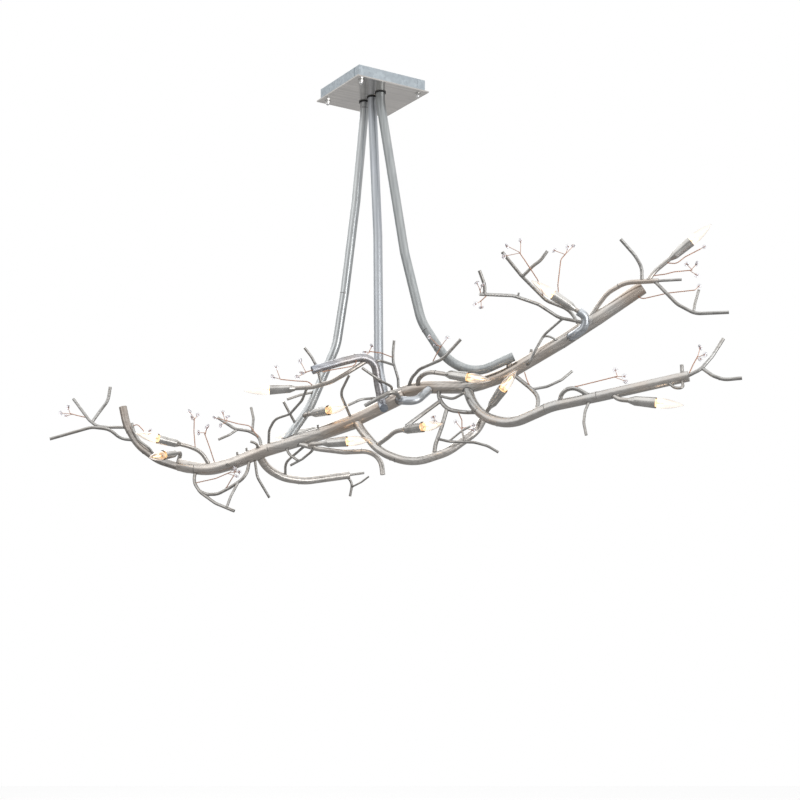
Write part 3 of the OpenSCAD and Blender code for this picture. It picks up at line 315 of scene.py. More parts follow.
def add_node(
    tree: bpy.types.NodeTree, kind: str, inputs: Sockets, **settings: object
) -> bpy.types.Node:
    """Adds a node to a tree.

    Args:
        tree: The tree.
        kind: The node's full type.
        inputs: A number, a vector or another node's output for each socket.
        settings: The node's own settings.

    Returns:
        The new node.
    """
    made = tree.nodes.new(kind)
    for name, value in settings.items():
        setattr(made, name, value)
    for name, value in inputs.items():
        if isinstance(value, bpy.types.NodeSocket):
            tree.links.new(value, made.inputs[name])
        else:
            made.inputs[name].default_value = value
    return made


class Shading:
    """The nodes that colour a material or the world."""

    def __init__(self, tree: bpy.types.NodeTree) -> None:
        """Takes up a tree."""
        self.tree = tree

    def node(self, kind: str, inputs: Sockets, **settings: object) -> bpy.types.Node:
        """Adds a node by its type, without ShaderNode."""
        return add_node(self.tree, "ShaderNode" + kind, inputs, **settings)

    def sum(self, operation: str, *values: object) -> bpy.types.NodeSocket:
        """Adds a sum on numbers and returns its result."""
        return self.node("Math", dict(enumerate(values)), operation=operation).outputs[0]

    def ramp(
        self, value: bpy.types.NodeSocket, stops: Sequence[tuple[float, Colour]]
    ) -> bpy.types.NodeSocket:
        """Turns a grey value into a colour that runs through stops.

        Args:
            value: The grey value.
            stops: The place of each stop from 0 to 1, and its colour.

        Returns:
            The colour.
        """
        node = self.node("ValToRGB", {"Fac": value})
        band = node.color_ramp
        while len(band.elements) < len(stops):
            band.elements.new(0.5)
        for element, (position, colour) in zip(band.elements, stops):
            element.position = position
            element.color = (*colour, 1)
        return node.outputs["Color"]

    def blend(
        self, share: bpy.types.NodeSocket, first: Paint, second: Paint
    ) -> bpy.types.NodeSocket:
        """Mixes two colours by a share of the second."""
        spots = {0: share, 6: first, 7: second}
        return self.node("Mix", spots, data_type="RGBA").outputs[2]


class Shader(Shading):
    """One material and the nodes that colour it."""

    def __init__(self, name: str) -> None:
        """Starts a material with its principled shader.

        Args:
            name: The material's name.
        """
        self.material = bpy.data.materials.new(name)
        self.material.use_nodes = True
        super().__init__(self.material.node_tree)
        self.surface = self.tree.nodes["Principled BSDF"]

    def set(self, **numbers: float | tuple[float, ...]) -> Shader:
        """Sets the shader's own sockets.

        Args:
            numbers: A value for each socket, with _ for each space in its name.

        Returns:
            The same shader.
        """
        for name, number in numbers.items():
            self.surface.inputs[name.replace("_", " ")].default_value = number
        return self

    def place(self, along: Point = (1, 0, 0), size: Point = (1, 1, 1)) -> bpy.types.NodeSocket:
        """Reads the place on the piece.

        Args:
            along: The direction that X is turned to.
            size: The length that counts as one along each axis.

        Returns:
            The place.
        """
        where = self.node("TexCoord", {}).outputs["Object"]
        turn = Vector(along).to_track_quat("X", "Z").to_euler()
        spots = {"Vector": where, "Rotation": turn, "Scale": size}
        return self.node("Mapping", spots, vector_type="TEXTURE").outputs["Vector"]

    def noise(
        self, where: bpy.types.NodeSocket, scale: float, detail: float = 3.0
    ) -> bpy.types.NodeSocket:
        """Adds a noise and returns its grey value."""
        spots = {"Vector": where, "Scale": scale, "Detail": detail}
        return self.node("TexNoise", spots).outputs["Fac"]

    def painted_edge_shade(self, middle: Colour, rim: Colour, start: float = 0.45) -> bpy.types.NodeSocket:
        """Paints shade on glass by how squarely it is seen: a painted edge shade, darker where it
        is seen edge-on.
        """
        facing = self.node("LayerWeight", {"Blend": 0.5}).outputs["Facing"]
        return self.ramp(facing, [(start, middle), (0.95, rim)])

    def span(self, value: bpy.types.NodeSocket, low: float, high: float) -> bpy.types.NodeSocket:
        """Spreads a value about a half over a range of numbers."""
        spots = {"Value": value, "From Min": 0.3, "From Max": 0.7, "To Min": low, "To Max": high}
        return self.node("MapRange", spots).outputs["Result"]

    def colour(self, socket: bpy.types.NodeSocket, name: str = "Base Color") -> None:
        """Feeds a colour or a number into the shader."""
        self.tree.links.new(socket, self.surface.inputs[name])

    def bump(self, height: bpy.types.NodeSocket, strength: float, depth: float) -> None:
        """Raises the surface by a grey value, up to a depth in metres."""
        spots = {"Height": height, "Strength": strength, "Distance": depth}
        self.colour(self.node("Bump", spots).outputs["Normal"], "Normal")


@dataclass(frozen=True)
class DrawnSteel:
    """Drawn steel tube with a lengthwise grain and faint blotches.

    Attributes:
        name: The material's name.
        pale: The colour of its light streaks.
        dark: The colour of its dark streaks.
        tint: A colour that drifts over it in wide patches.
        tinted: The least and the greatest share of that colour.
        metallic: How much of it is bare metal.
        rough: Its lowest and highest roughness.
        grain: The way that its grain runs.
        streak: The width of a streak, in metres.
        stretch: The length of a streak, in its widths.
        hair: The length and width of the finest drawing marks, in metres.
    """

    name: str
    pale: Colour = (0.74, 0.72, 0.69)
    dark: Colour = (0.50, 0.49, 0.47)
    tint: Colour = (0.64, 0.54, 0.46)
    tinted: tuple[float, float] = (0.0, 0.5)
    metallic: float = 0.9
    rough: tuple[float, float] = (0.27, 0.37)
    grain: Grain = Grain.ALONG
    streak: float = 0.006
    stretch: float = 60.0
    hair: tuple[float, float] = (0.06, 0.0012)

    def material(self) -> bpy.types.Material:
        """Builds the material.

        Returns:
            The finished material.
        """
        shader = Shader(self.name).set(Metallic=self.metallic, Specular_IOR_Level=0.5)
        length, mark = self.stretch * self.streak, (*self.hair, self.hair[1])
        lines = shader.place(self.grain.value, (length, self.streak, self.streak))
        streaks = shader.noise(lines, 1.0, 4.0)
        fine = shader.noise(shader.place(self.grain.value, mark), 1.0, 2.0)
        patches = shader.noise(shader.place(), 9.0, 2.0)
        steel = shader.ramp(streaks, [(0.34, self.dark), (0.62, self.pale)])
        shader.colour(shader.blend(shader.span(patches, *self.tinted), steel, (*self.tint, 1)))
        shader.colour(shader.span(streaks, *self.rough), "Roughness")
        shader.bump(fine, 0.015, 0.0002)
        return shader.material


@dataclass(frozen=True)
class GalvanisedSheet:
    """Zinc-coated sheet with the small spangle of hot dipping."""

    name: str = "galvanised_sheet"
    pale: Colour = (0.54, 0.60, 0.64)
    dark: Colour = (0.42, 0.47, 0.51)
    spangle: float = 120.0

    def material(self) -> bpy.types.Material:
        """Builds the material.

        Returns:
            The finished material.
        """
        shader = Shader(self.name).set(Metallic=0.78, Specular_IOR_Level=0.5)
        where = shader.place(Grain.SHEET.value)
        cells = shader.node("TexVoronoi", {"Vector": where, "Scale": self.spangle}).outputs["Color"]
        grey = shader.node("RGBToBW", {"Color": cells}).outputs["Val"]
        clouds = shader.noise(where, 24.0, 5.0)
        mottle = shader.sum("MULTIPLY", grey, clouds)
        shader.colour(shader.ramp(mottle, [(0.05, self.dark), (0.45, self.pale)]))
        shader.colour(shader.span(clouds, 0.34, 0.46), "Roughness")
        shader.bump(clouds, 0.04, 0.0006)
        return shader.material


@dataclass(frozen=True)
class PlainMetal:
    """A small turned or pressed metal part with light tarnish."""

    name: str
    pale: Colour
    dark: Colour
    rough: tuple[float, float] = (0.15, 0.3)
    metallic: float = 1.0
    scale: float = 260.0

    def material(self) -> bpy.types.Material:
        """Builds the material.

        Returns:
            The finished material.
        """
        shader = Shader(self.name).set(Metallic=self.metallic)
        cloud = shader.noise(shader.place(), self.scale, 3.0)
        shader.colour(shader.ramp(cloud, [(0.35, self.dark), (0.6, self.pale)]))
        shader.colour(shader.span(cloud, *self.rough), "Roughness")
        shader.bump(cloud, 0.04, 0.0003)
        return shader.material


@dataclass(frozen=True)
class Moulded:
    """Moulded plastic or rubber with a fine matt grain."""

    name: str
    tone: Colour
    shade: Colour
    rough: tuple[float, float] = (0.45, 0.6)

    def material(self) -> bpy.types.Material:
        """Builds the material.

        Returns:
            The finished material.
        """
        shader = Shader(self.name).set(Specular_IOR_Level=0.4)
        grain = shader.noise(shader.place(), 900.0, 2.0)
        shader.colour(shader.ramp(grain, [(0.3, self.shade), (0.7, self.tone)]))
        shader.colour(shader.span(grain, *self.rough), "Roughness")
        shader.bump(grain, 0.15, 0.0002)
        return shader.material


@dataclass(frozen=True)
class ClearGlass:
    """Pressed clear glass with fine ripples."""

    name: str = "blossom_glass"
    tone: Colour = (0.92, 0.91, 0.93)
    # rim is a painted edge shade: the darker colour that the glass is given where it is seen
    # edge-on.
    rim: Colour = (0.42, 0.40, 0.46)

    def material(self) -> bpy.types.Material:
        """Builds the material.

        Returns:
            The finished material.
        """
        shader = Shader(self.name).set(Transmission_Weight=1.0, IOR=1.5, Roughness=0.04)
        ripple = shader.noise(shader.place(), 420.0, 2.0)
        # Painted edge shade: the glass is coloured darker where it is seen edge-on.
        shader.colour(shader.painted_edge_shade(self.tone, self.rim))
        shader.bump(ripple, 0.1, 0.0004)
        return shader.material


@dataclass(frozen=True)
class LitGlass:
    """The thin glass of a lit bulb: amber at its neck, warm white at its tip.

    Attributes:
        name: The material's name.
        foot: The height of the mouth of the sleeve, in metres.
        tip: The height of the bulb's tip, in metres.
        seated: How far the glass reaches down into the sleeve, in metres.
        glow: How strongly the glass glows.
        stops: The colour of its glow at shares of its height.
        tone: Its colour where it is seen squarely.
        rim: Its painted edge shade, the darker colour that it is given where it is seen edge-on.
    """

    name: str
    foot: float
    tip: float
    seated: float = 0.006
    glow: float = 0.5
    stops: tuple[tuple[float, Colour], ...] = (
        (0.0, (1.0, 0.55, 0.2)),
        (0.14, (0.6, 0.42, 0.26)),
        (0.4, (0.12, 0.1, 0.08)),
    )
    tone: Colour = (0.95, 0.92, 0.89)
    rim: Colour = (0.44, 0.39, 0.36)

    def material(self) -> bpy.types.Material:
        """Builds the material.

        Returns:
            The finished material.
        """
        shader = Shader(self.name).set(Emission_Strength=self.glow)
        shader.set(Transmission_Weight=1.0, IOR=1.45, Roughness=0.03)
        height = shader.node("Attribute", {}, attribute_name="height").outputs["Fac"]
        spots = {"Value": height, "From Min": self.foot - self.seated, "From Max": self.tip}
        up = shader.node("MapRange", spots).outputs["Result"]
        shader.colour(shader.ramp(up, self.stops), "Emission Color")
        # Painted edge shade: the glass is coloured darker where it is seen edge-on.
        shader.colour(shader.painted_edge_shade(self.tone, self.rim, 0.35))
        ripple = shader.noise(shader.place(), 60.0, 2.0)
        shader.bump(ripple, 0.05, 0.0005)
        return shader.material


@dataclass(frozen=True)
class Glowing:
    """Wire that is white hot, a little cooler in patches."""

    name: str = "filament_glow"
    tone: Colour = (1.0, 0.72, 0.38)
    cooler: Colour = (1.0, 0.55, 0.2)
    strength: float = 5.0

    def material(self) -> bpy.types.Material:
        """Builds the material.

        Returns:
            The finished material.
        """
        shader = Shader(self.name).set(Roughness=0.5, Emission_Strength=self.strength)
        heat = shader.noise(shader.place(), 160.0, 1.0)
        shader.colour(shader.ramp(heat, [(0.3, self.cooler), (0.6, self.tone)]), "Emission Color")
        shader.set(Base_Color=(0.3, 0.2, 0.12, 1))
        return shader.material


# ---- geometry trees ----


class Kind(Enum):
    """The socket types of a geometry tree's inputs."""

    LENGTH = "NodeSocketFloat"
    COUNT = "NodeSocketInt"
    FINISH = "NodeSocketMaterial"


class GeometryTree:
    """One Geometry Nodes tree with named inputs."""

    def __init__(self, name: str, inputs: dict[str, Kind]) -> None:
        """Starts a tree that takes a geometry and the named inputs.

        Args:
            name: The tree's name.
            inputs: The kind of each named input.
        """
        self.group = bpy.data.node_groups.new(name, "GeometryNodeTree")
        sockets = self.group.interface
        sockets.new_socket(name="Geometry", in_out="INPUT", socket_type="NodeSocketGeometry")
        for label, kind in inputs.items():
            sockets.new_socket(name=label, in_out="INPUT", socket_type=kind.value)
        sockets.new_socket(name="Geometry", in_out="OUTPUT", socket_type="NodeSocketGeometry")
        self.inputs = self.group.nodes.new("NodeGroupInput").outputs
        self.output = self.group.nodes.new("NodeGroupOutput").inputs["Geometry"]

    def node(self, kind: str, inputs: Sockets, **settings: object) -> bpy.types.Node:
        """Adds a node by its full type."""
        return add_node(self.group, kind, inputs, **settings)

    def geometry(self, kind: str, inputs: Sockets, **settings: object) -> bpy.types.NodeSocket:
        """Adds a node by its type, without GeometryNode, and returns its first output."""
        return self.node("GeometryNode" + kind, inputs, **settings).outputs[0]

    def sum(self, operation: str, *values: object) -> bpy.types.NodeSocket:
        """Adds a sum on numbers and returns its result."""
        spots = dict(enumerate(values))
        return self.node("ShaderNodeMath", spots, operation=operation).outputs[0]

    def vector(self, operation: str, *values: object, **scale: object) -> bpy.types.NodeSocket:
        """Adds a sum on vectors and returns its result."""
        spots: Sockets = {**dict(enumerate(values)), **scale}
        return self.node("ShaderNodeVectorMath", spots, operation=operation).outputs[0]

    def line(self, **spacing: object) -> bpy.types.NodeSocket:
        """Turns the edges that come in into curves with even points.

        Args:
            spacing: Either the Length between points or their Count on each curve.

        Returns:
            The curves.
        """
        edges = self.geometry("MeshToCurve", {"Mesh": self.inputs["Geometry"]})
        mode = "LENGTH" if "Length" in spacing else "COUNT"
        return self.geometry("ResampleCurve", {"Curve": edges, **spacing}, mode=mode)

    def named(self, name: str) -> bpy.types.NodeSocket:
        """Reads a number that each point carries."""
        return self.geometry("InputNamedAttribute", {"Name": name}, data_type="FLOAT")

    def finish(self, geometry: bpy.types.NodeSocket) -> GeometryTree:
        """Realizes, smooths and finishes a geometry, and ends the tree with it.

        Args:
            geometry: The geometry.

        Returns:
            The same tree.
        """
        whole = self.geometry("RealizeInstances", {"Geometry": geometry})
        soft = self.geometry("SetShadeSmooth", {"Geometry": whole})
        done = self.geometry("SetMaterial", {"Geometry": soft, "Material": self.inputs["Finish"]})
        self.group.links.new(done, self.output)
        return self

    def grow(self, name: str, seed: bpy.types.Mesh, sizes: dict[str, object]) -> bpy.types.Object:
        """Runs the tree on a mesh and keeps what it makes as a plain mesh.

        Args:
            name: The new piece's name.
            seed: The mesh that the tree starts from.
            sizes: A value for each named input.

        Returns:
            The new piece, with no modifier left on it.
        """
        piece = mesh_object(name, seed)
        modifier = piece.modifiers.new("Grow", "NODES")
        modifier.node_group = self.group
        for item in self.group.interface.items_tree:
            if item.in_out == "INPUT" and item.name in sizes:
                modifier[item.identifier] = sizes[item.name]
        graph = bpy.context.evaluated_depsgraph_get()
        grown = bpy.data.meshes.new_from_object(piece.evaluated_get(graph), depsgraph=graph)
        piece.modifiers.clear()
        piece.data = grown
        grown.name = name
        return piece


# ---- the canopy ----


@dataclass
class Canopy:
    """The square canopy: its sheet, its fasteners and the seams of its folds.

    Attributes:
        nodes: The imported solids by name.
        side: The side of the box.
        height: The height of the box.
        turn: Its turn against the crown.
        seam: The width and thickness of the lap at a folded corner.
        seam_in: How far a lap's edge stands in from the corner.
        short: How much shorter than the box a lap is.
        soften: The bevel of a lap's edges.
    """

    nodes: dict[str, bpy.types.Object]
    side: float = 0.236
    height: float = 0.036
    turn: float = math.radians(32.5)
    seam: tuple[float, float] = (0.0022, 0.0009)
    seam_in: float = 0.028
    short: float = 0.002
    soften: float = 0.0003

    def build(self) -> None:
        """Finishes the canopy's solids and adds its seams."""
        sheet = GalvanisedSheet().material()
        zinc = PlainMetal("zinc_plate", (0.62, 0.62, 0.6), (0.4, 0.4, 0.39))
        bright = PlainMetal("polished_nut", (0.95, 0.95, 0.95), (0.8, 0.8, 0.8), (0.04, 0.1))
        brass = PlainMetal("terminal_brass", (0.72, 0.55, 0.26), (0.5, 0.36, 0.16))
        rubber = Moulded("black_rubber", (0.02, 0.02, 0.02), (0.01, 0.01, 0.01))
        nylon = Moulded("white_nylon", (0.8, 0.8, 0.77), (0.7, 0.7, 0.67))
        flex = Moulded("grey_flex", (0.12, 0.12, 0.13), (0.07, 0.07, 0.08))
        finish_nodes(self.nodes, sheet, "canopy_box")
        for finish, names in (
            (CanopyPlate(), ("canopy_plate",)),
            (zinc, ("canopy_studs", "stud_washers", "tube_locknuts", "lock_washers")),
            (bright, ("cap_nuts",)),
            (rubber, ("tube_grommets",)),
            (nylon, ("terminal_block",)),
            (brass, ("earth_screw",)),
            (flex, ("canopy_leads", "hanger_wires", "main_wires", "lamp_leads")),
        ):
            finish_nodes(self.nodes, finish.material(), *names)
        dress(self.seams(sheet))

    def seams(self, sheet: bpy.types.Material) -> bpy.types.Object:
        """Makes the four laps where the folded sheet overlaps near a corner.

        Args:
            sheet: The finish of the box.

        Returns:
            One piece with the four laps, each a thin bevelled strip.
        """
        form = bmesh.new()
        width, depth = self.seam
        for quarter in range(4):
            strip = bmesh.ops.create_cube(form, size=1)["verts"]
            centre = Vector((self.side / 2 - self.seam_in, -self.side / 2, -self.height / 2))
            size = Vector((width, 2 * depth, self.height - self.short))
            place = Matrix.Rotation(self.turn + quarter * math.pi / 2, 4, "Z")
            bmesh.ops.scale(form, vec=size, verts=strip)
            bmesh.ops.translate(form, vec=centre, verts=strip)
            bmesh.ops.transform(form, matrix=place, verts=strip)
        bmesh.ops.bevel(form, geom=form.edges[:], offset=self.soften, segments=2, affect="EDGES")
        return mesh_object("canopy_seams", finished(form, "canopy_seams", sheet))


@dataclass(frozen=True)
class CanopyPlate:
    """The plate under the canopy: warm grey, half mirror, with rolling marks."""

    name: str = "canopy_plate_sheet"
    pale: Colour = (0.72, 0.69, 0.66)
    dark: Colour = (0.56, 0.54, 0.515)
    cloudy: Colour = (0.60, 0.58, 0.56)

    def material(self) -> bpy.types.Material:
        """Builds the material.

        Returns:
            The finished material.
        """
        shader = Shader(self.name).set(Metallic=0.7, Specular_IOR_Level=0.5)
        rolled = shader.noise(shader.place(Grain.SHEET.value, (0.5, 0.008, 0.5)), 1.0, 4.0)
        cloud = shader.noise(shader.place(), 14.0, 4.0)
        plate = shader.ramp(rolled, [(0.3, self.dark), (0.65, self.pale)])
        shader.colour(shader.blend(shader.span(cloud, 0.0, 0.4), plate, (*self.cloudy, 1)))
        shader.colour(shader.span(cloud, 0.12, 0.24), "Roughness")
        shader.bump(cloud, 0.1, 0.001)
        return shader.material


def finish_nodes(
    nodes: dict[str, bpy.types.Object], finish: bpy.types.Material, *names: str
) -> None:
    """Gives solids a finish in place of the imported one.

    Args:
        nodes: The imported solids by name.
        finish: The finish.
        names: The solids that get it.
    """
    for name in names:
        for spot in nodes[name].material_slots:
            spot.material = finish
        LOG.info("%s: finished in %s", name, finish.name)


# ---- tubes and twigs ----


@dataclass(frozen=True)
class Seam:
    """One line on which a tube's surface meets another's.

    Attributes:
        line: Its points; a closed one ends on its first point.
        wall: The way that the surface beside each of its edges faces.
    """

    line: list[Vector]
    wall: list[Vector]

    def length(self) -> float:
        """Measures the line."""
        return sum((b - a).length for a, b in zip(self.line, self.line[1:]))

    def inward(self) -> bool:
        """Tells whether the seam runs round a bore and not round a tube."""
        centre = sum(self.line, Vector()) / len(self.line)
        return sum((p - centre).dot(way) for p, way in zip(self.line, self.wall)) < 0


@dataclass
class TubeWork:
    """The welded crown and its hanging tubes.

    Attributes:
        nodes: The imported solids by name.
        touch: How near an edge lies to the tube that its own tube is welded to.
        reach: How far from an edge its two sides are looked at.
        sharp: The least angle of an edge that may be a seam.
        flat: How squarely a foot faces the tube that it lies on, as a cosine.
        bead: The radius of a weld's beads, as a share of the seam's length.
        bead_range: The least and the greatest radius of a bead.
        shortest: The length of the shortest seam that is welded.
    """

    nodes: dict[str, bpy.types.Object]
    touch: float = 0.0008
    reach: float = 0.0012
    sharp: float = math.radians(22)
    flat: float = 0.8
    bead: float = 0.023
    bead_range: tuple[float, float] = (0.0011, 0.0023)
    shortest: float = 0.012
    skins: dict[str, Skin] = field(default_factory=dict)

    def build(self) -> None:
        """Finishes the tubes and adds the welds."""
        for steel, names in self.steels().items():
            finish_nodes(self.nodes, steel.material(), *names)
            for name in names:
                self.skins[name] = Skin(self.nodes[name])
        dress(self.welds(self.seams()))
        for skin in self.skins.values():
            skin.form.free()

    @staticmethod
    def steels() -> dict[DrawnSteel, tuple[str, ...]]:
        """Names the steel of every tube, rod and twig.

        Returns:
            The names of the solids that each steel finishes.
        """
        silver, silver_dark = (0.66, 0.68, 0.68), (0.50, 0.52, 0.53)
        # The last two greys here are painted shade: a darker copy of the hanging steel for the
        # right hanging tube.
        plain, shaded_grey, shaded_grey_dark = (0.56, 0.58, 0.59), (0.48, 0.50, 0.50), (0.34, 0.36, 0.37)
        cool, cool_dark = (0.64, 0.67, 0.71), (0.46, 0.49, 0.53)
        brown, brown_dark = (0.42, 0.40, 0.38), (0.26, 0.25, 0.24)
        warm, soft = (0.54, 0.44, 0.36), (0.38, 0.48)
        up = Grain.UPRIGHT
        steels = {
            DrawnSteel("hanging_steel", silver, silver_dark, plain, grain=up): ("hanger_left",),
            # Painted shade: the right hanging tube gets a darker copy of the same steel.
            DrawnSteel("hanging_painted_shade_steel", shaded_grey, shaded_grey_dark, shaded_grey, rough=soft, grain=up):
                ("hanger_right",),
            DrawnSteel("hanging_cool_steel", cool, cool_dark, plain, rough=soft, grain=up):
                ("hanger_middle",),
            DrawnSteel("main_left_steel"): ("main_left", "lower_left_limb"),
            DrawnSteel("left_end_steel", brown, brown_dark, warm): ("left_end_tube",),
            # The strong warm tint on these two tubes is painted reflection: it stands in for the
            # warm light of the bulbs on them, laid on in wide patches.
            DrawnSteel("main_middle_steel", tint=warm, tinted=(0.3, 0.9), grain=Grain.RISING):
                ("main_middle",),
            DrawnSteel("main_right_steel", tint=warm, tinted=(0.1, 0.9), grain=Grain.RISING):
                ("main_right", "right_rod"),
            DrawnSteel("limb_steel", grain=Grain.FALLING): ("lower_middle_limb", "cross_arm"),
            DrawnSteel("lower_right_steel", (0.58, 0.58, 0.57)): ("lower_right_limb",),
            DrawnSteel("cool_steel", cool, cool_dark, plain): ("curl_arm", "joint_knot"),
            DrawnSteel("blued_steel", (0.44, 0.48, 0.54), (0.20, 0.23, 0.28), warm): ("upper_arm",),
            DrawnSteel("rod_steel", (0.56, 0.55, 0.53), tint=warm): ("weld_tacks", "lamp_rods"),
        }
        twig, twig_dark, stain = (0.52, 0.515, 0.50), (0.32, 0.315, 0.305), (0.33, 0.29, 0.25)
        for grain, ends in (
            (Grain.ALONG, ("left_end", "left_top", "right_tip", "low_centre", "right_low")),
            (Grain.RISING, ("right_top", "upper_arm", "middle_left")),
            (Grain.FALLING, ("left_under", "centre")),
        ):
            name = f"twig_steel_{grain.name.lower()}"
            steel = DrawnSteel(name, twig, twig_dark, stain, grain=grain, streak=0.005)
            steels[steel] = tuple(f"twigs_{end}" for end in ends)
        return steels

    def seams(self) -> list[Seam]:
        """Finds every line on which one tube's surface leaves another's.

        Returns:
            The seams that are long enough to weld, those round bores left out.
        """
        corners: list[Vector] = []
        faces: list[list[int]] = []
        owners: list[str] = []
        for name, skin in self.skins.items():
            first = len(corners)
            corners += [point.co.copy() for point in skin.form.verts]
            faces += [[first + point.index for point in face.verts] for face in skin.form.faces]
            owners += [name] * len(skin.form.faces)
        crown = BVHTree.FromPolygons(corners, faces)
        found: list[Seam] = []
        for name, skin in self.skins.items():
            walls: dict[int, Vector] = {}
            for edge in skin.form.edges:
                wall = self.fold(skin, edge) or self.foot(skin, edge, name, crown, owners)
                if wall is not None:
                    walls[edge.index] = wall
            found += [seam for seam in chained(skin, walls) if seam.length() > self.shortest]
        kept = [seam for seam in found if not seam.inward()]
        LOG.info("%d seams, %d of them round bores", len(found), len(found) - len(kept))
        return kept

    def fold(self, skin: Skin, edge: bmesh.types.BMEdge) -> Vector | None:
        """Tests for a hollow edge, where two tubes of one solid run together.

        Args:
            skin: The solid's surface.
            edge: The edge.

        Returns:
            The way that the steeper side faces, or None where it is no seam.
        """
        if len(edge.link_faces) != 2 or edge.calc_face_angle_signed() > -self.sharp:
            return None
        first, second = (skin.beside(edge, face, self.reach) for face in edge.link_faces)
        return first + second if first.dot(second) < math.cos(self.sharp) else None

    def foot(
        self, skin: Skin, edge: bmesh.types.BMEdge, name: str, crown: BVHTree, owners: list[str]
    ) -> Vector | None:
        """Tests for the edge of a foot that stands on another solid.

        Args:
            skin: The surface of the tube that the edge belongs to.
            edge: The edge.
            name: That tube's name.
            crown: The surfaces of all tubes.
            owners: The tube that each face of the crown belongs to.

        Returns:
            The way that the tube's wall faces there, or None.
        """
        if len(edge.link_faces) != 2 or edge.calc_face_angle_signed() < self.sharp:
            return None
        middle = (edge.verts[0].co + edge.verts[1].co) / 2
        close = crown.find_nearest_range(middle, self.touch)
        near = [hit for hit in close if owners[hit[2]] != name]
        if not near:
            return None
        carrier = min(near, key=lambda hit: hit[3])[1]
        sides = (skin.beside(edge, face, self.reach) for face in edge.link_faces)
        foot, wall = sorted(sides, key=carrier.dot)
        lies_on = foot.dot(carrier) < -self.flat
        stands_up = -self.flat < wall.dot(carrier) < math.cos(self.sharp)
        return wall if lies_on and stands_up else None

    def welds(self, seams: list[Seam]) -> bpy.types.Object:
        """Lays a row of overlapping beads of weld along each seam.

        Args:
            seams: The seams.

        Returns:
            One piece with all the beads.
        """
        low, high = self.bead_range
        seed = polylines("weld_lines", [seam.line for seam in seams])
        beads: list[float] = []
        for seam in seams:
            points = len(seam.line) - (seam.line[0] is seam.line[-1])
            beads += [min(high, max(low, self.bead * seam.length()))] * points
        point_numbers(seed, "bead", beads)
        steel = PlainMetal("weld_steel", (0.32, 0.31, 0.30), (0.14, 0.135, 0.13), (0.3, 0.5), 0.8)
        sizes = {
            "Spacing": 1.6,
            "Stretch": 1.5,
            "Ripple": 0.2,
            "Seed": 7,
            "Finish": steel.material(),
        }
        return weld_tree().grow("weld_beads", seed, sizes)


def chained(skin: Skin, walls: dict[int, Vector]) -> list[Seam]:
    """Strings edges together into lines.

    Args:
        skin: The surface that the edges belong to.
        walls: The edges' numbers, and the way that the wall beside each faces.

    Returns:
        One seam for every line.
    """
    found: list[Seam] = []
    left = dict(walls)
    skin.form.edges.ensure_lookup_table()
    while left:
        index, wall = left.popitem()
        ends = list(skin.form.edges[index].verts)
        line, ways = ends[:], [wall]
        for turned in (False, True):
            while line[0] is not line[-1] or len(line) == 1:
                step = next((e for e in line[-1].link_edges if e.index in left), None)
                if step is None:
                    break
                ways.append(left.pop(step.index))
                line.append(step.other_vert(line[-1]))
            if not turned:
                line.reverse()
                ways.reverse()
        points = [vert.co.copy() for vert in line]
        if line[0] is line[-1]:
            points[-1] = points[0]
        found.append(Seam(points, ways + [ways[-1]]))
    return found


def weld_tree() -> GeometryTree:
    """Builds the tree that strings beads of weld along closed lines.

    Returns:
        A tree with the beads' spacing and stretch in bead radii, the share by
        which they differ, and the seed of that difference.
    """
    tree = GeometryTree(
        "weld_beads",
        {
            "Spacing": Kind.LENGTH,
            "Stretch": Kind.LENGTH,
            "Ripple": Kind.LENGTH,
            "Seed": Kind.COUNT,
            "Finish": Kind.FINISH,
        },
    )
    bead = tree.named("bead")
    even = tree.line(Length=tree.sum("MULTIPLY", bead, tree.inputs["Spacing"]))
    spots = {"Geometry": even, "Name": "way", "Value": tree.geometry("InputTangent", {})}
    kept = tree.geometry("StoreNamedAttribute", spots, data_type="FLOAT_VECTOR", domain="POINT")
    way = tree.geometry("InputNamedAttribute", {"Name": "way"}, data_type="FLOAT_VECTOR")
    turn = tree.node("FunctionNodeAlignRotationToVector", {"Vector": way}, axis="X").outputs[0]
    low = tree.sum("SUBTRACT", 1.0, tree.inputs["Ripple"])
    high = tree.sum("ADD", 1.0, tree.inputs["Ripple"])
    spots = {2: low, 3: high, "Seed": tree.inputs["Seed"]}
    chance = tree.node("FunctionNodeRandomValue", spots, data_type="FLOAT")
    size = tree.sum("MULTIPLY", bead, chance.outputs[1])
    long = tree.sum("MULTIPLY", size, tree.inputs["Stretch"])
    scale = tree.node("ShaderNodeCombineXYZ", {0: long, 1: size, 2: size}).outputs[0]
    ball = tree.geometry("MeshUVSphere", {"Segments": 8, "Rings": 4, "Radius": 1.0})
    beads = {"Points": kept, "Instance": ball, "Rotation": turn, "Scale": scale}
    return tree.finish(tree.geometry("InstanceOnPoints", beads))


# ---- blossoms ----


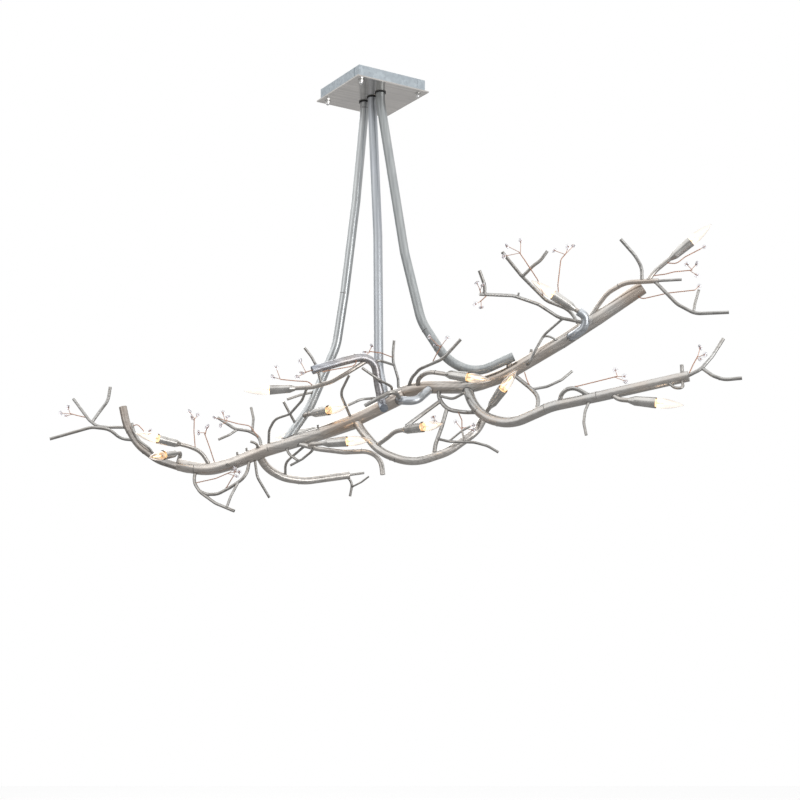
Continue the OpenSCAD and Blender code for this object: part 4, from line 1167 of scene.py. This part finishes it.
@dataclass
class Blossoms:
    """The copper stems and the glass beads at their ends.

    Attributes:
        nodes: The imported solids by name.
        stem: The diameter of a stem.
        strands: The wires that are twisted into a stem.
        pitch: The length of one twist.
        petals: The lobes of a bead.
        bead: The radius of a bead.
        heart: The radius of the knob in its middle, as a share of the bead's.
        looks: The number of ways that are tried for where a stem sets off.
        rim: How far apart two points of a stem's end may lie, in stem diameters.
    """

    nodes: dict[str, bpy.types.Object]
    stem: float = 0.0035
    strands: int = 3
    pitch: float = 0.016
    petals: int = 6
    bead: float = 0.009
    heart: float = 0.18
    looks: int = 240
    rim: float = 1.05

    def build(self) -> None:
        """Makes the stems and the beads, and finishes the wires between them."""
        pale, dark = (0.66, 0.38, 0.26), (0.42, 0.22, 0.14)
        finish = PlainMetal("stem_copper", pale, dark, (0.3, 0.45), 0.85).material()
        finish_nodes(self.nodes, finish, "bead_wires")
        dress(self.stems(finish), replaces=("stems",))
        dress(self.hearts(finish))
        dress(self.beads(ClearGlass().material()), replaces=("beads",))

    def stems(self, copper: bpy.types.Material) -> bpy.types.Object:
        """Twists each stem out of its strands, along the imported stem's middle.

        Args:
            copper: The finish of the stems.

        Returns:
            One piece with all the stems.
        """
        skin = Skin(self.nodes["stems"])
        lines = [self.centreline(skin, island) for island in skin.islands()]
        skin.form.free()
        sizes = {
            "Radius": self.stem / 2,
            "Strands": self.strands,
            "Pitch": self.pitch,
            "Finish": copper,
        }
        LOG.info("%d stems", len(lines))
        return stem_tree().grow("copper_stems", polylines("stem_lines", lines), sizes)

    def centreline(self, skin: Skin, island: list[Vector]) -> list[Vector]:
        """Finds the middle line of one packed stem.

        Args:
            skin: The surface of all stems.
            island: The points of this stem.

        Returns:
            Points from one end of the stem to the other.
        """
        centre = sum(island, Vector()) / len(island)
        tip = max(island, key=lambda p: (p - centre).length)
        foot = max(island, key=lambda p: (p - tip).length)
        lines = [self.followed(skin, island, end) for end in (tip, foot)]
        return max(lines, key=lambda line: (line[-1] - line[0]).length)

    def followed(self, skin: Skin, island: list[Vector], end: Vector) -> list[Vector]:
        """Follows a packed stem from one of its ends.

        Args:
            skin: The surface of all stems.
            island: The points of this stem.
            end: A point on the rim of that end.

        Returns:
            Points along its middle, only the first where the end is cut at a slant.
        """
        ring = [p for p in island if (p - end).length < self.rim * self.stem]
        start = sum(ring, Vector()) / len(ring)
        ways, free = [], []
        for k in range(self.looks):
            z, turn = 1 - (2 * k + 1) / self.looks, GOLDEN_TURN * k
            across = math.sqrt(1 - z * z)
            way = Vector((across * math.cos(turn), across * math.sin(turn), z))
            spot, normal, _, far = skin.tree.ray_cast(start + way * self.stem / 8, way)
            ways.append(way)
            free.append(far if spot is not None and normal.dot(way) > 0 else 0.0)
        return skin.walk(start, ways[free.index(max(free))], self.stem / 2)

    def bead_centres(self) -> list[Vector]:
        """Finds the middle of each packed bead.

        Returns:
            The middles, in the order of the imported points.
        """
        skin = Skin(self.nodes["beads"])
        centres = []
        for island in skin.islands():
            low = Vector(min(p[k] for p in island) for k in range(3))
            high = Vector(max(p[k] for p in island) for k in range(3))
            if (high - low).length > self.bead:
                centres.append((low + high) / 2)
        skin.form.free()
        LOG.info("%d beads", len(centres))
        return centres

    def hearts(self, copper: bpy.types.Material) -> bpy.types.Object:
        """Makes the knob of wire in the middle of each bead.

        Args:
            copper: The finish of the knobs.

        Returns:
            One piece with all the knobs.
        """
        form = bmesh.new()
        radius = self.heart * self.bead
        for centre in self.bead_centres():
            place = Matrix.Translation(centre)
            bmesh.ops.create_icosphere(form, subdivisions=1, radius=radius, matrix=place)
        return mesh_object("bead_hearts", smooth(finished(form, "bead_hearts", copper)))

    def beads(self, glass: bpy.types.Material) -> bpy.types.Object:
        """Sets a lobed glass bead at each packed bead's place.

        Args:
            glass: The finish of the beads.

        Returns:
            One piece with all the beads.
        """
        seed = bpy.data.meshes.new("bead_points")
        seed.from_pydata([tuple(p) for p in self.bead_centres()], [], [])
        sizes = {"Radius": self.bead, "Petals": self.petals, "Seed": 3, "Finish": glass}
        return bead_tree().grow("glass_beads", seed, sizes)


def stem_tree() -> GeometryTree:
    """Builds the tree that sweeps a lobed section along lines and twists it.

    Returns:
        A tree with the stem's radius, the number of strands and the pitch.
    """
    tree = GeometryTree(
        "copper_stems",
        {"Radius": Kind.LENGTH, "Strands": Kind.COUNT, "Pitch": Kind.LENGTH, "Finish": Kind.FINISH},
    )
    step, steps_round, depth = 0.002, 18, 0.2
    even = tree.line(Length=step)
    walked = tree.node("GeometryNodeSplineParameter", {}).outputs["Length"]
    turns = tree.sum("DIVIDE", walked, tree.inputs["Pitch"])
    tilt = tree.sum("MULTIPLY", turns, math.tau)
    twisted = tree.geometry("SetCurveTilt", {"Curve": even, "Tilt": tilt})
    ring = tree.geometry("CurvePrimitiveCircle", {"Resolution": steps_round, "Radius": 1.0})
    share = tree.node("GeometryNodeSplineParameter", {}).outputs["Factor"]
    lobe = tree.sum("MULTIPLY", tree.sum("MULTIPLY", share, tree.inputs["Strands"]), math.tau)
    swell = tree.sum("MULTIPLY_ADD", tree.sum("COSINE", lobe), depth, 1.0 - depth)
    size = tree.sum("MULTIPLY", swell, tree.inputs["Radius"])
    moved = tree.vector("SCALE", tree.geometry("InputPosition", {}), Scale=size)
    lobed = tree.geometry("SetPosition", {"Geometry": ring, "Position": moved})
    sweep = {"Curve": twisted, "Profile Curve": lobed, "Fill Caps": True}
    return tree.finish(tree.geometry("CurveToMesh", sweep))


def bead_tree() -> GeometryTree:
    """Builds the tree that sets a flower of round lobes on every point.

    Returns:
        A tree with the bead's radius, the number of lobes and the seed of
        their turn and size.
    """
    tree = GeometryTree(
        "glass_beads",
        {"Radius": Kind.LENGTH, "Petals": Kind.COUNT, "Seed": Kind.COUNT, "Finish": Kind.FINISH},
    )
    lobe_at, lobe_r, heart_r = (
        tree.sum("MULTIPLY", tree.inputs["Radius"], share) for share in (0.58, 0.40, 0.5)
    )
    ring = tree.geometry("MeshCircle", {"Vertices": tree.inputs["Petals"], "Radius": lobe_at})
    ball = tree.geometry("MeshIcoSphere", {"Radius": lobe_r, "Subdivisions": 2})
    petals = tree.geometry("InstanceOnPoints", {"Points": ring, "Instance": ball})
    heart = tree.geometry("MeshIcoSphere", {"Radius": heart_r, "Subdivisions": 2})
    flower = tree.node("GeometryNodeJoinGeometry", {}, label="flower")
    tree.group.links.new(petals, flower.inputs[0])
    tree.group.links.new(heart, flower.inputs[0])
    seed = tree.inputs["Seed"]
    spots = {1: (math.tau, math.tau, math.tau), "Seed": seed}
    turn = tree.node("FunctionNodeRandomValue", spots, data_type="FLOAT_VECTOR")
    size = tree.node("FunctionNodeRandomValue", {2: 0.86, 3: 1.0, "Seed": seed}, data_type="FLOAT")
    set_on = {
        "Points": tree.inputs["Geometry"],
        "Instance": flower.outputs[0],
        "Rotation": turn.outputs[0],
        "Scale": size.outputs[1],
    }
    return tree.finish(tree.geometry("InstanceOnPoints", set_on))


# ---- lamps ----


@dataclass
class CandleBulb:
    """One clear candle bulb on its screw cap, lit.

    Heights run along the lamp from the end of its rod.

    Attributes:
        radius: The largest radius of the glass.
        mouth: The height of the sleeve's mouth.
        out: How far the glass stands out of the sleeve.
        seat: The height of the foot of the glass.
        cap: The radius and length of the screw cap.
        wall: The thickness of the glass.
        collar: The height of the foot of the glass over the seat.
        post: The height of the top of the glass post over the seat.
        loop: The height of the filament over the post.
        leads: The heights over the seat that the lead wires run between.
        lead: The radius of a lead wire.
        stops: The curve of the glass, as shares of its radius and height.
    """

    radius: float = 0.015
    mouth: float = 0.075
    out: float = 0.075
    seat: float = 0.067
    cap: tuple[float, float] = (0.007, 0.022)
    wall: float = 0.0007
    collar: float = 0.002
    post: float = 0.030
    loop: float = 0.026
    leads: tuple[float, float] = (0.012, 0.031)
    lead: float = 0.0003
    stops: tuple[tuple[float, float], ...] = ((0.72, 0.0), (1.3, 0.28), (0.55, 0.8), (0.05, 1.0))

    def outline(self, inset: float, count: int = 26) -> list[tuple[float, float]]:
        """Follows the glass from the mouth of the sleeve to its tip.

        Args:
            inset: How far inside the outer face the line runs.
            count: The number of steps.

        Returns:
            Points of radius and height.
        """
        line = []
        for k in range(count + 1):
            t = k / count
            shares = ((1 - t) ** 3, 3 * (1 - t) ** 2 * t, 3 * (1 - t) * t * t, t**3)
            r = sum(s * stop[0] for s, stop in zip(shares, self.stops)) * self.radius
            z = sum(s * stop[1] for s, stop in zip(shares, self.stops)) * self.out
            line.append((max(r - inset, 0.0002), self.mouth + z - inset))
        return line

    def glass(self) -> bpy.types.Mesh:
        """Makes the thin glass, closed round both of its faces.

        Returns:
            A thin shell that is open at its foot, where a rim joins its two faces.
        """
        foot = self.stops[0][0] * self.radius
        outer = [(foot, self.seat + self.collar), *self.outline(0.0), (0.0, self.mouth + self.out)]
        inner = [(foot - self.wall, self.seat + self.collar), *self.outline(self.wall)]
        inner.append((0.0, self.mouth + self.out - 3 * self.wall))
        return lathe("bulb_glass", [*reversed(inner), *outer])

    def mount(self) -> bpy.types.Mesh:
        """Makes the glass post that carries the filament.

        Returns:
            The post on its flared foot.
        """
        foot, top = self.seat + self.collar, self.seat + self.post
        profile = [
            (0, foot),
            (0.006, foot),
            (0.0035, foot + 0.006),
            (0.0018, foot + 0.012),
            (0.0016, top - 0.002),
            (0.0026, top - 0.001),
            (0.0016, top),
            (0, top),
        ]
        return lathe("bulb_mount", profile, 24)

    def screw(self) -> bpy.types.Mesh:
        """Makes the screw cap with its rolled thread and its foot contact.

        Returns:
            The cap, up to the foot of the glass.
        """
        radius, length = self.cap
        foot = self.seat - length
        line = [(0, foot), (0.003, foot), (0.004, foot + 0.002), (radius - 0.001, foot + 0.004)]
        turns = 5
        for k in range(turns * 6 + 1):
            height = foot + 0.005 + (length - 0.007) * k / (turns * 6)
            line.append((radius - 0.0003 + 0.0003 * math.cos(k * math.tau / 6), height))
        line += [(radius - 0.0006, self.seat), (0, self.seat + 0.0015)]
        return lathe("bulb_screw", line, 36)

    def filament(self, finish: bpy.types.Material) -> bpy.types.Object:
        """Coils the glowing wire in a hairpin over the mount.

        Args:
            finish: The finish of the wire.

        Returns:
            The wire as a piece, whose mesh is copied into each bulb.
        """
        low = self.seat + self.post
        high = low + self.loop
        line = [
            Vector((-0.0045, 0, low)),
            Vector((-0.0050, 0, (low + high) / 2)),
            Vector((-0.0030, 0, high)),
            Vector((0, 0, high + 0.003)),
            Vector((0.0030, 0, high)),
            Vector((0.0050, 0, (low + high) / 2)),
            Vector((0.0045, 0, low)),
        ]
        sizes = {"Coil": 0.0011, "Wire": 0.00035, "Turns": 26.0, "Finish": finish}
        return coil_tree().grow("bulb_filament", polylines("filament_line", [line]), sizes)

    def supports(self) -> bpy.types.Mesh:
        """Makes the two lead wires from the post to the filament's ends.

        Returns:
            The two wires as one mesh.
        """
        form = bmesh.new()
        foot, top = (self.seat + height for height in self.leads)
        for side in (-1, 1):
            low, high = Vector((side * 0.0015, 0, foot)), Vector((side * 0.0045, 0, top))
            way = high - low
            ends = {"radius1": self.lead, "radius2": self.lead, "depth": way.length}
            wire = bmesh.ops.create_cone(form, cap_ends=True, segments=8, **ends)["verts"]
            place = Matrix.Translation((low + high) / 2)
            turn = way.to_track_quat("Z", "X").to_matrix().to_4x4()
            bmesh.ops.transform(form, matrix=place @ turn, verts=wire)
        return smooth(finished(form, "bulb_supports"))


def coil_tree() -> GeometryTree:
    """Builds the tree that winds a wire about a line.

    Returns:
        A tree with the coil's radius, the wire's radius and the turns.
    """
    tree = GeometryTree(
        "filament_coil",
        {"Coil": Kind.LENGTH, "Wire": Kind.LENGTH, "Turns": Kind.LENGTH, "Finish": Kind.FINISH},
    )
    points, back_way = 240, (0.0, 1.0, 0.0)
    even = tree.line(Count=points)
    tangent = tree.geometry("InputTangent", {})
    side = tree.vector("NORMALIZE", tree.vector("CROSS_PRODUCT", tangent, back_way))
    share = tree.node("GeometryNodeSplineParameter", {}).outputs["Factor"]
    angle = tree.sum("MULTIPLY", tree.sum("MULTIPLY", share, tree.inputs["Turns"]), math.tau)
    across = tree.vector("SCALE", side, Scale=tree.sum("COSINE", angle))
    back = tree.vector("SCALE", back_way, Scale=tree.sum("SINE", angle))
    offset = tree.vector("SCALE", tree.vector("ADD", across, back), Scale=tree.inputs["Coil"])
    wound = tree.geometry("SetPosition", {"Geometry": even, "Offset": offset})
    ring = tree.geometry("CurvePrimitiveCircle", {"Resolution": 6, "Radius": tree.inputs["Wire"]})
    sweep = {"Curve": wound, "Profile Curve": ring, "Fill Caps": True}
    return tree.finish(tree.geometry("CurveToMesh", sweep))


@dataclass
class Lamps:
    """The twelve lamps: sleeves, holders and bulbs.

    Attributes:
        nodes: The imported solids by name.
        joints: The record's joints, which say where each bulb screws in.
        bulb: The bulb that all of them carry.
    """

    nodes: dict[str, bpy.types.Object]
    joints: list[dict]
    bulb: CandleBulb = field(default_factory=CandleBulb)

    def build(self) -> None:
        """Finishes the sleeves and holders and sets a bulb in each."""
        pale, dark = (0.64, 0.625, 0.60), (0.48, 0.465, 0.44)
        nickel = PlainMetal("sleeve_nickel", pale, dark, (0.2, 0.3), 0.9, 30.0)
        shell = Moulded("ivory_holder", (0.75, 0.68, 0.55), (0.6, 0.52, 0.4))
        brass = PlainMetal("lamp_brass", (0.7, 0.52, 0.25), (0.48, 0.34, 0.15))
        finish_nodes(self.nodes, nickel.material(), "lamp_sleeves")
        finish_nodes(self.nodes, shell.material(), "lampholders")
        finish_nodes(self.nodes, brass.material(), "lamp_nipples", "holder_contacts")
        self.set_bulbs()

    def set_bulbs(self) -> None:
        """Copies the pieces of a bulb into every lamp."""
        glass = LitGlass("lit_glass", self.bulb.mouth, self.bulb.mouth + self.bulb.out).material()
        clear = ClearGlass("mount_glass").material()
        nickel = PlainMetal("cap_nickel", (0.66, 0.62, 0.55), (0.42, 0.4, 0.36)).material()
        filament = self.bulb.filament(Glowing().material())
        metal = [(self.bulb.screw(), nickel), (self.bulb.supports(), nickel), (filament.data, None)]
        pieces = {
            "glass": ([(self.bulb.glass(), glass)], "bulb_glass"),
            "mount": ([(self.bulb.mount(), clear)], "bulb_glass"),
            "cap": (metal, "brass"),
        }
        for joint in self.joints:
            body = joint["child"]
            node = body.removesuffix("_body")
            way = Vector(joint["axis"]).to_track_quat("Z", "Y").to_matrix().to_4x4()
            place = Matrix.Translation(Vector(joint["pos_m"])) @ way
            for label, (parts, slot) in pieces.items():
                name = f"{node}_{label}"
                piece = mesh_object(name, joined(name, parts, place))
                dress(piece, body, (node,) if label == "glass" else ())
        bpy.data.objects.remove(filament)


def joined(
    name: str,
    parts: Sequence[tuple[bpy.types.Mesh, bpy.types.Material | None]],
    place: Matrix,
) -> bpy.types.Mesh:
    """Copies meshes into one, in place, and keeps their finishes.

    Args:
        name: The new mesh's name.
        parts: Each mesh, and its finish where it doesn't carry one.
        place: Where they go.

    Returns:
        The joined mesh.
    """
    form = bmesh.new()
    finishes: list[bpy.types.Material] = []
    for mesh, finish in parts:
        first = len(form.faces)
        form.from_mesh(mesh)
        form.faces.ensure_lookup_table()
        for face in form.faces[first:]:
            face.material_index = len(finishes)
        finishes.append(finish or mesh.materials[0])
    bmesh.ops.transform(form, matrix=place, verts=form.verts)
    return finished(form, name, *finishes)


# ---- the stage ----


@dataclass
class Studio:
    """The floor, the light and the camera.

    Attributes:
        floor_z: The height of the floor under the ceiling.
        floor_side: The side of the floor.
        eye: Where the camera stands.
        lift: How far the camera looks up from straight down.
        lens: The camera's lens in millimetres.
        ambient: The strength of the light from all round.
        overhead: The strength of the soft light overhead, as metal shows it.
        glow: How much the floor is lifted towards white where the camera sees it.
        mirrored: How much it is lifted where metal shows it.
        tones: The darkest and the lightest grey of the floor.
        band: How bright metal shows what is round it, from straight down to straight up.
        crown_z: The height that the lights face.
        sensor: The width of the camera's sensor in millimetres.
    """

    floor_z: float = -2.7
    floor_side: float = 9.0
    eye: Point = (0.086, -4.0, -1.597)
    lift: float = 98.6
    lens: float = 60.6
    ambient: float = 0.42
    overhead: float = 1.4
    glow: float = 0.72
    mirrored: float = 0.06
    tones: tuple[float, float] = (0.39, 0.41)
    band: tuple[tuple[float, float], ...] = (
        (0.0, 0.12),
        (0.3, 0.4),
        (0.4, 0.37),
        (0.5, 0.2),
        (0.62, 0.42),
        (0.76, 0.95),
        (1.0, 1.0),
    )
    crown_z: float = -0.9
    sensor: float = 36.0

    def build(self) -> None:
        """Makes the whole stage."""
        self.floor()
        self.world()
        self.lamp("key", (3.0, -3.0, -1.0), 2.6, 60.0)
        self.lamp("fill", (-3.2, -2.6, -0.2), 2.4, 16.0)
        self.lamp("rim", (-1.0, 3.4, 1.2), 2.6, 40.0)
        self.camera()

    def floor(self) -> None:
        """Lays a pale floor that the camera and glass show near white."""
        shader = Shader("pale_floor").set(Roughness=0.9, Emission_Color=(1, 1, 1, 1))
        cloud = shader.noise(shader.place(), 0.8, 2.0)
        dark, pale = ((tone,) * 3 for tone in self.tones)
        shader.colour(shader.ramp(cloud, [(0.3, dark), (0.7, pale)]))
        rays = shader.node("LightPath", {}).outputs
        seen = shader.sum("MAXIMUM", rays["Is Camera Ray"], rays["Is Transmission Ray"])
        shown = shader.sum("MULTIPLY", rays["Is Glossy Ray"], self.mirrored)
        lift = shader.sum("MAXIMUM", shader.sum("MULTIPLY", seen, self.glow), shown)
        shader.colour(lift, "Emission Strength")
        form = bmesh.new()
        bmesh.ops.create_grid(form, x_segments=2, y_segments=2, size=self.floor_side / 2)
        mesh = finished(form, "floor", shader.material)
        mesh.transform(Matrix.Translation((0, 0, self.floor_z)))
        mesh_object("floor", mesh)

    def world(self) -> None:
        """Lights the scene evenly, white to the camera and glass, banded to metal."""
        world = bpy.data.worlds.new("studio")
        bpy.context.scene.world = world
        world.use_nodes = True
        shading = Shading(world.node_tree)
        rays = shading.node("LightPath", {}).outputs
        seen = shading.sum("MAXIMUM", rays["Is Camera Ray"], rays["Is Transmission Ray"])
        way = shading.node("TexCoord", {}).outputs["Generated"]
        height = shading.node("SeparateXYZ", {0: way}).outputs["Z"]
        spots = {"Value": height, "From Min": -1, "From Max": 1, "To Min": 0, "To Max": 1}
        up = shading.node("MapRange", spots).outputs["Result"]
        band = shading.ramp(up, [(position, (grey,) * 3) for position, grey in self.band])
        spots = {0: band, "Scale": self.overhead}
        bright = shading.node("VectorMath", spots, operation="SCALE").outputs[0]
        round_it = shading.blend(rays["Is Glossy Ray"], (*(self.ambient,) * 3, 1), bright)
        backdrop = world.node_tree.nodes["Background"]
        backdrop.inputs["Strength"].default_value = 1.0
        white = shading.blend(seen, round_it, (1, 1, 1, 1))
        world.node_tree.links.new(white, backdrop.inputs["Color"])

    def lamp(self, name: str, place: Point, side: float, power: float) -> None:
        """Hangs a square soft light that faces the crown.

        Args:
            name: The light's name.
            place: Where it hangs.
            side: Its side.
            power: Its power in watts.
        """
        light = bpy.data.lights.new(name, "AREA")
        light.size = side
        light.energy = power
        piece = bpy.data.objects.new(name, light)
        piece.location = place
        aim = Vector((0, 0, self.crown_z)) - Vector(place)
        piece.rotation_euler = aim.to_track_quat("-Z", "Y").to_euler()
        bpy.context.scene.collection.objects.link(piece)

    def camera(self) -> None:
        """Sets the camera where the photograph was taken from."""
        lens = bpy.data.cameras.new("camera")
        lens.lens = self.lens
        lens.sensor_width = self.sensor
        piece = bpy.data.objects.new("camera", lens)
        piece.location = self.eye
        piece.rotation_euler = (math.radians(self.lift), 0, 0)
        bpy.context.scene.collection.objects.link(piece)
        bpy.context.scene.camera = piece


def main() -> None:
    """Builds the stage and every sub-assembly."""
    logging.basicConfig(level=logging.INFO, format="%(name)s: %(message)s")
    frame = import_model()
    scene = bpy.context.scene
    scene.view_settings.view_transform = "Standard"
    Studio().build()
    nodes = frame["nodes"]
    Canopy(nodes).build()
    TubeWork(nodes).build()
    Blossoms(nodes).build()
    Lamps(nodes, frame["joints"]).build()


if __name__ == "__main__":
    main()
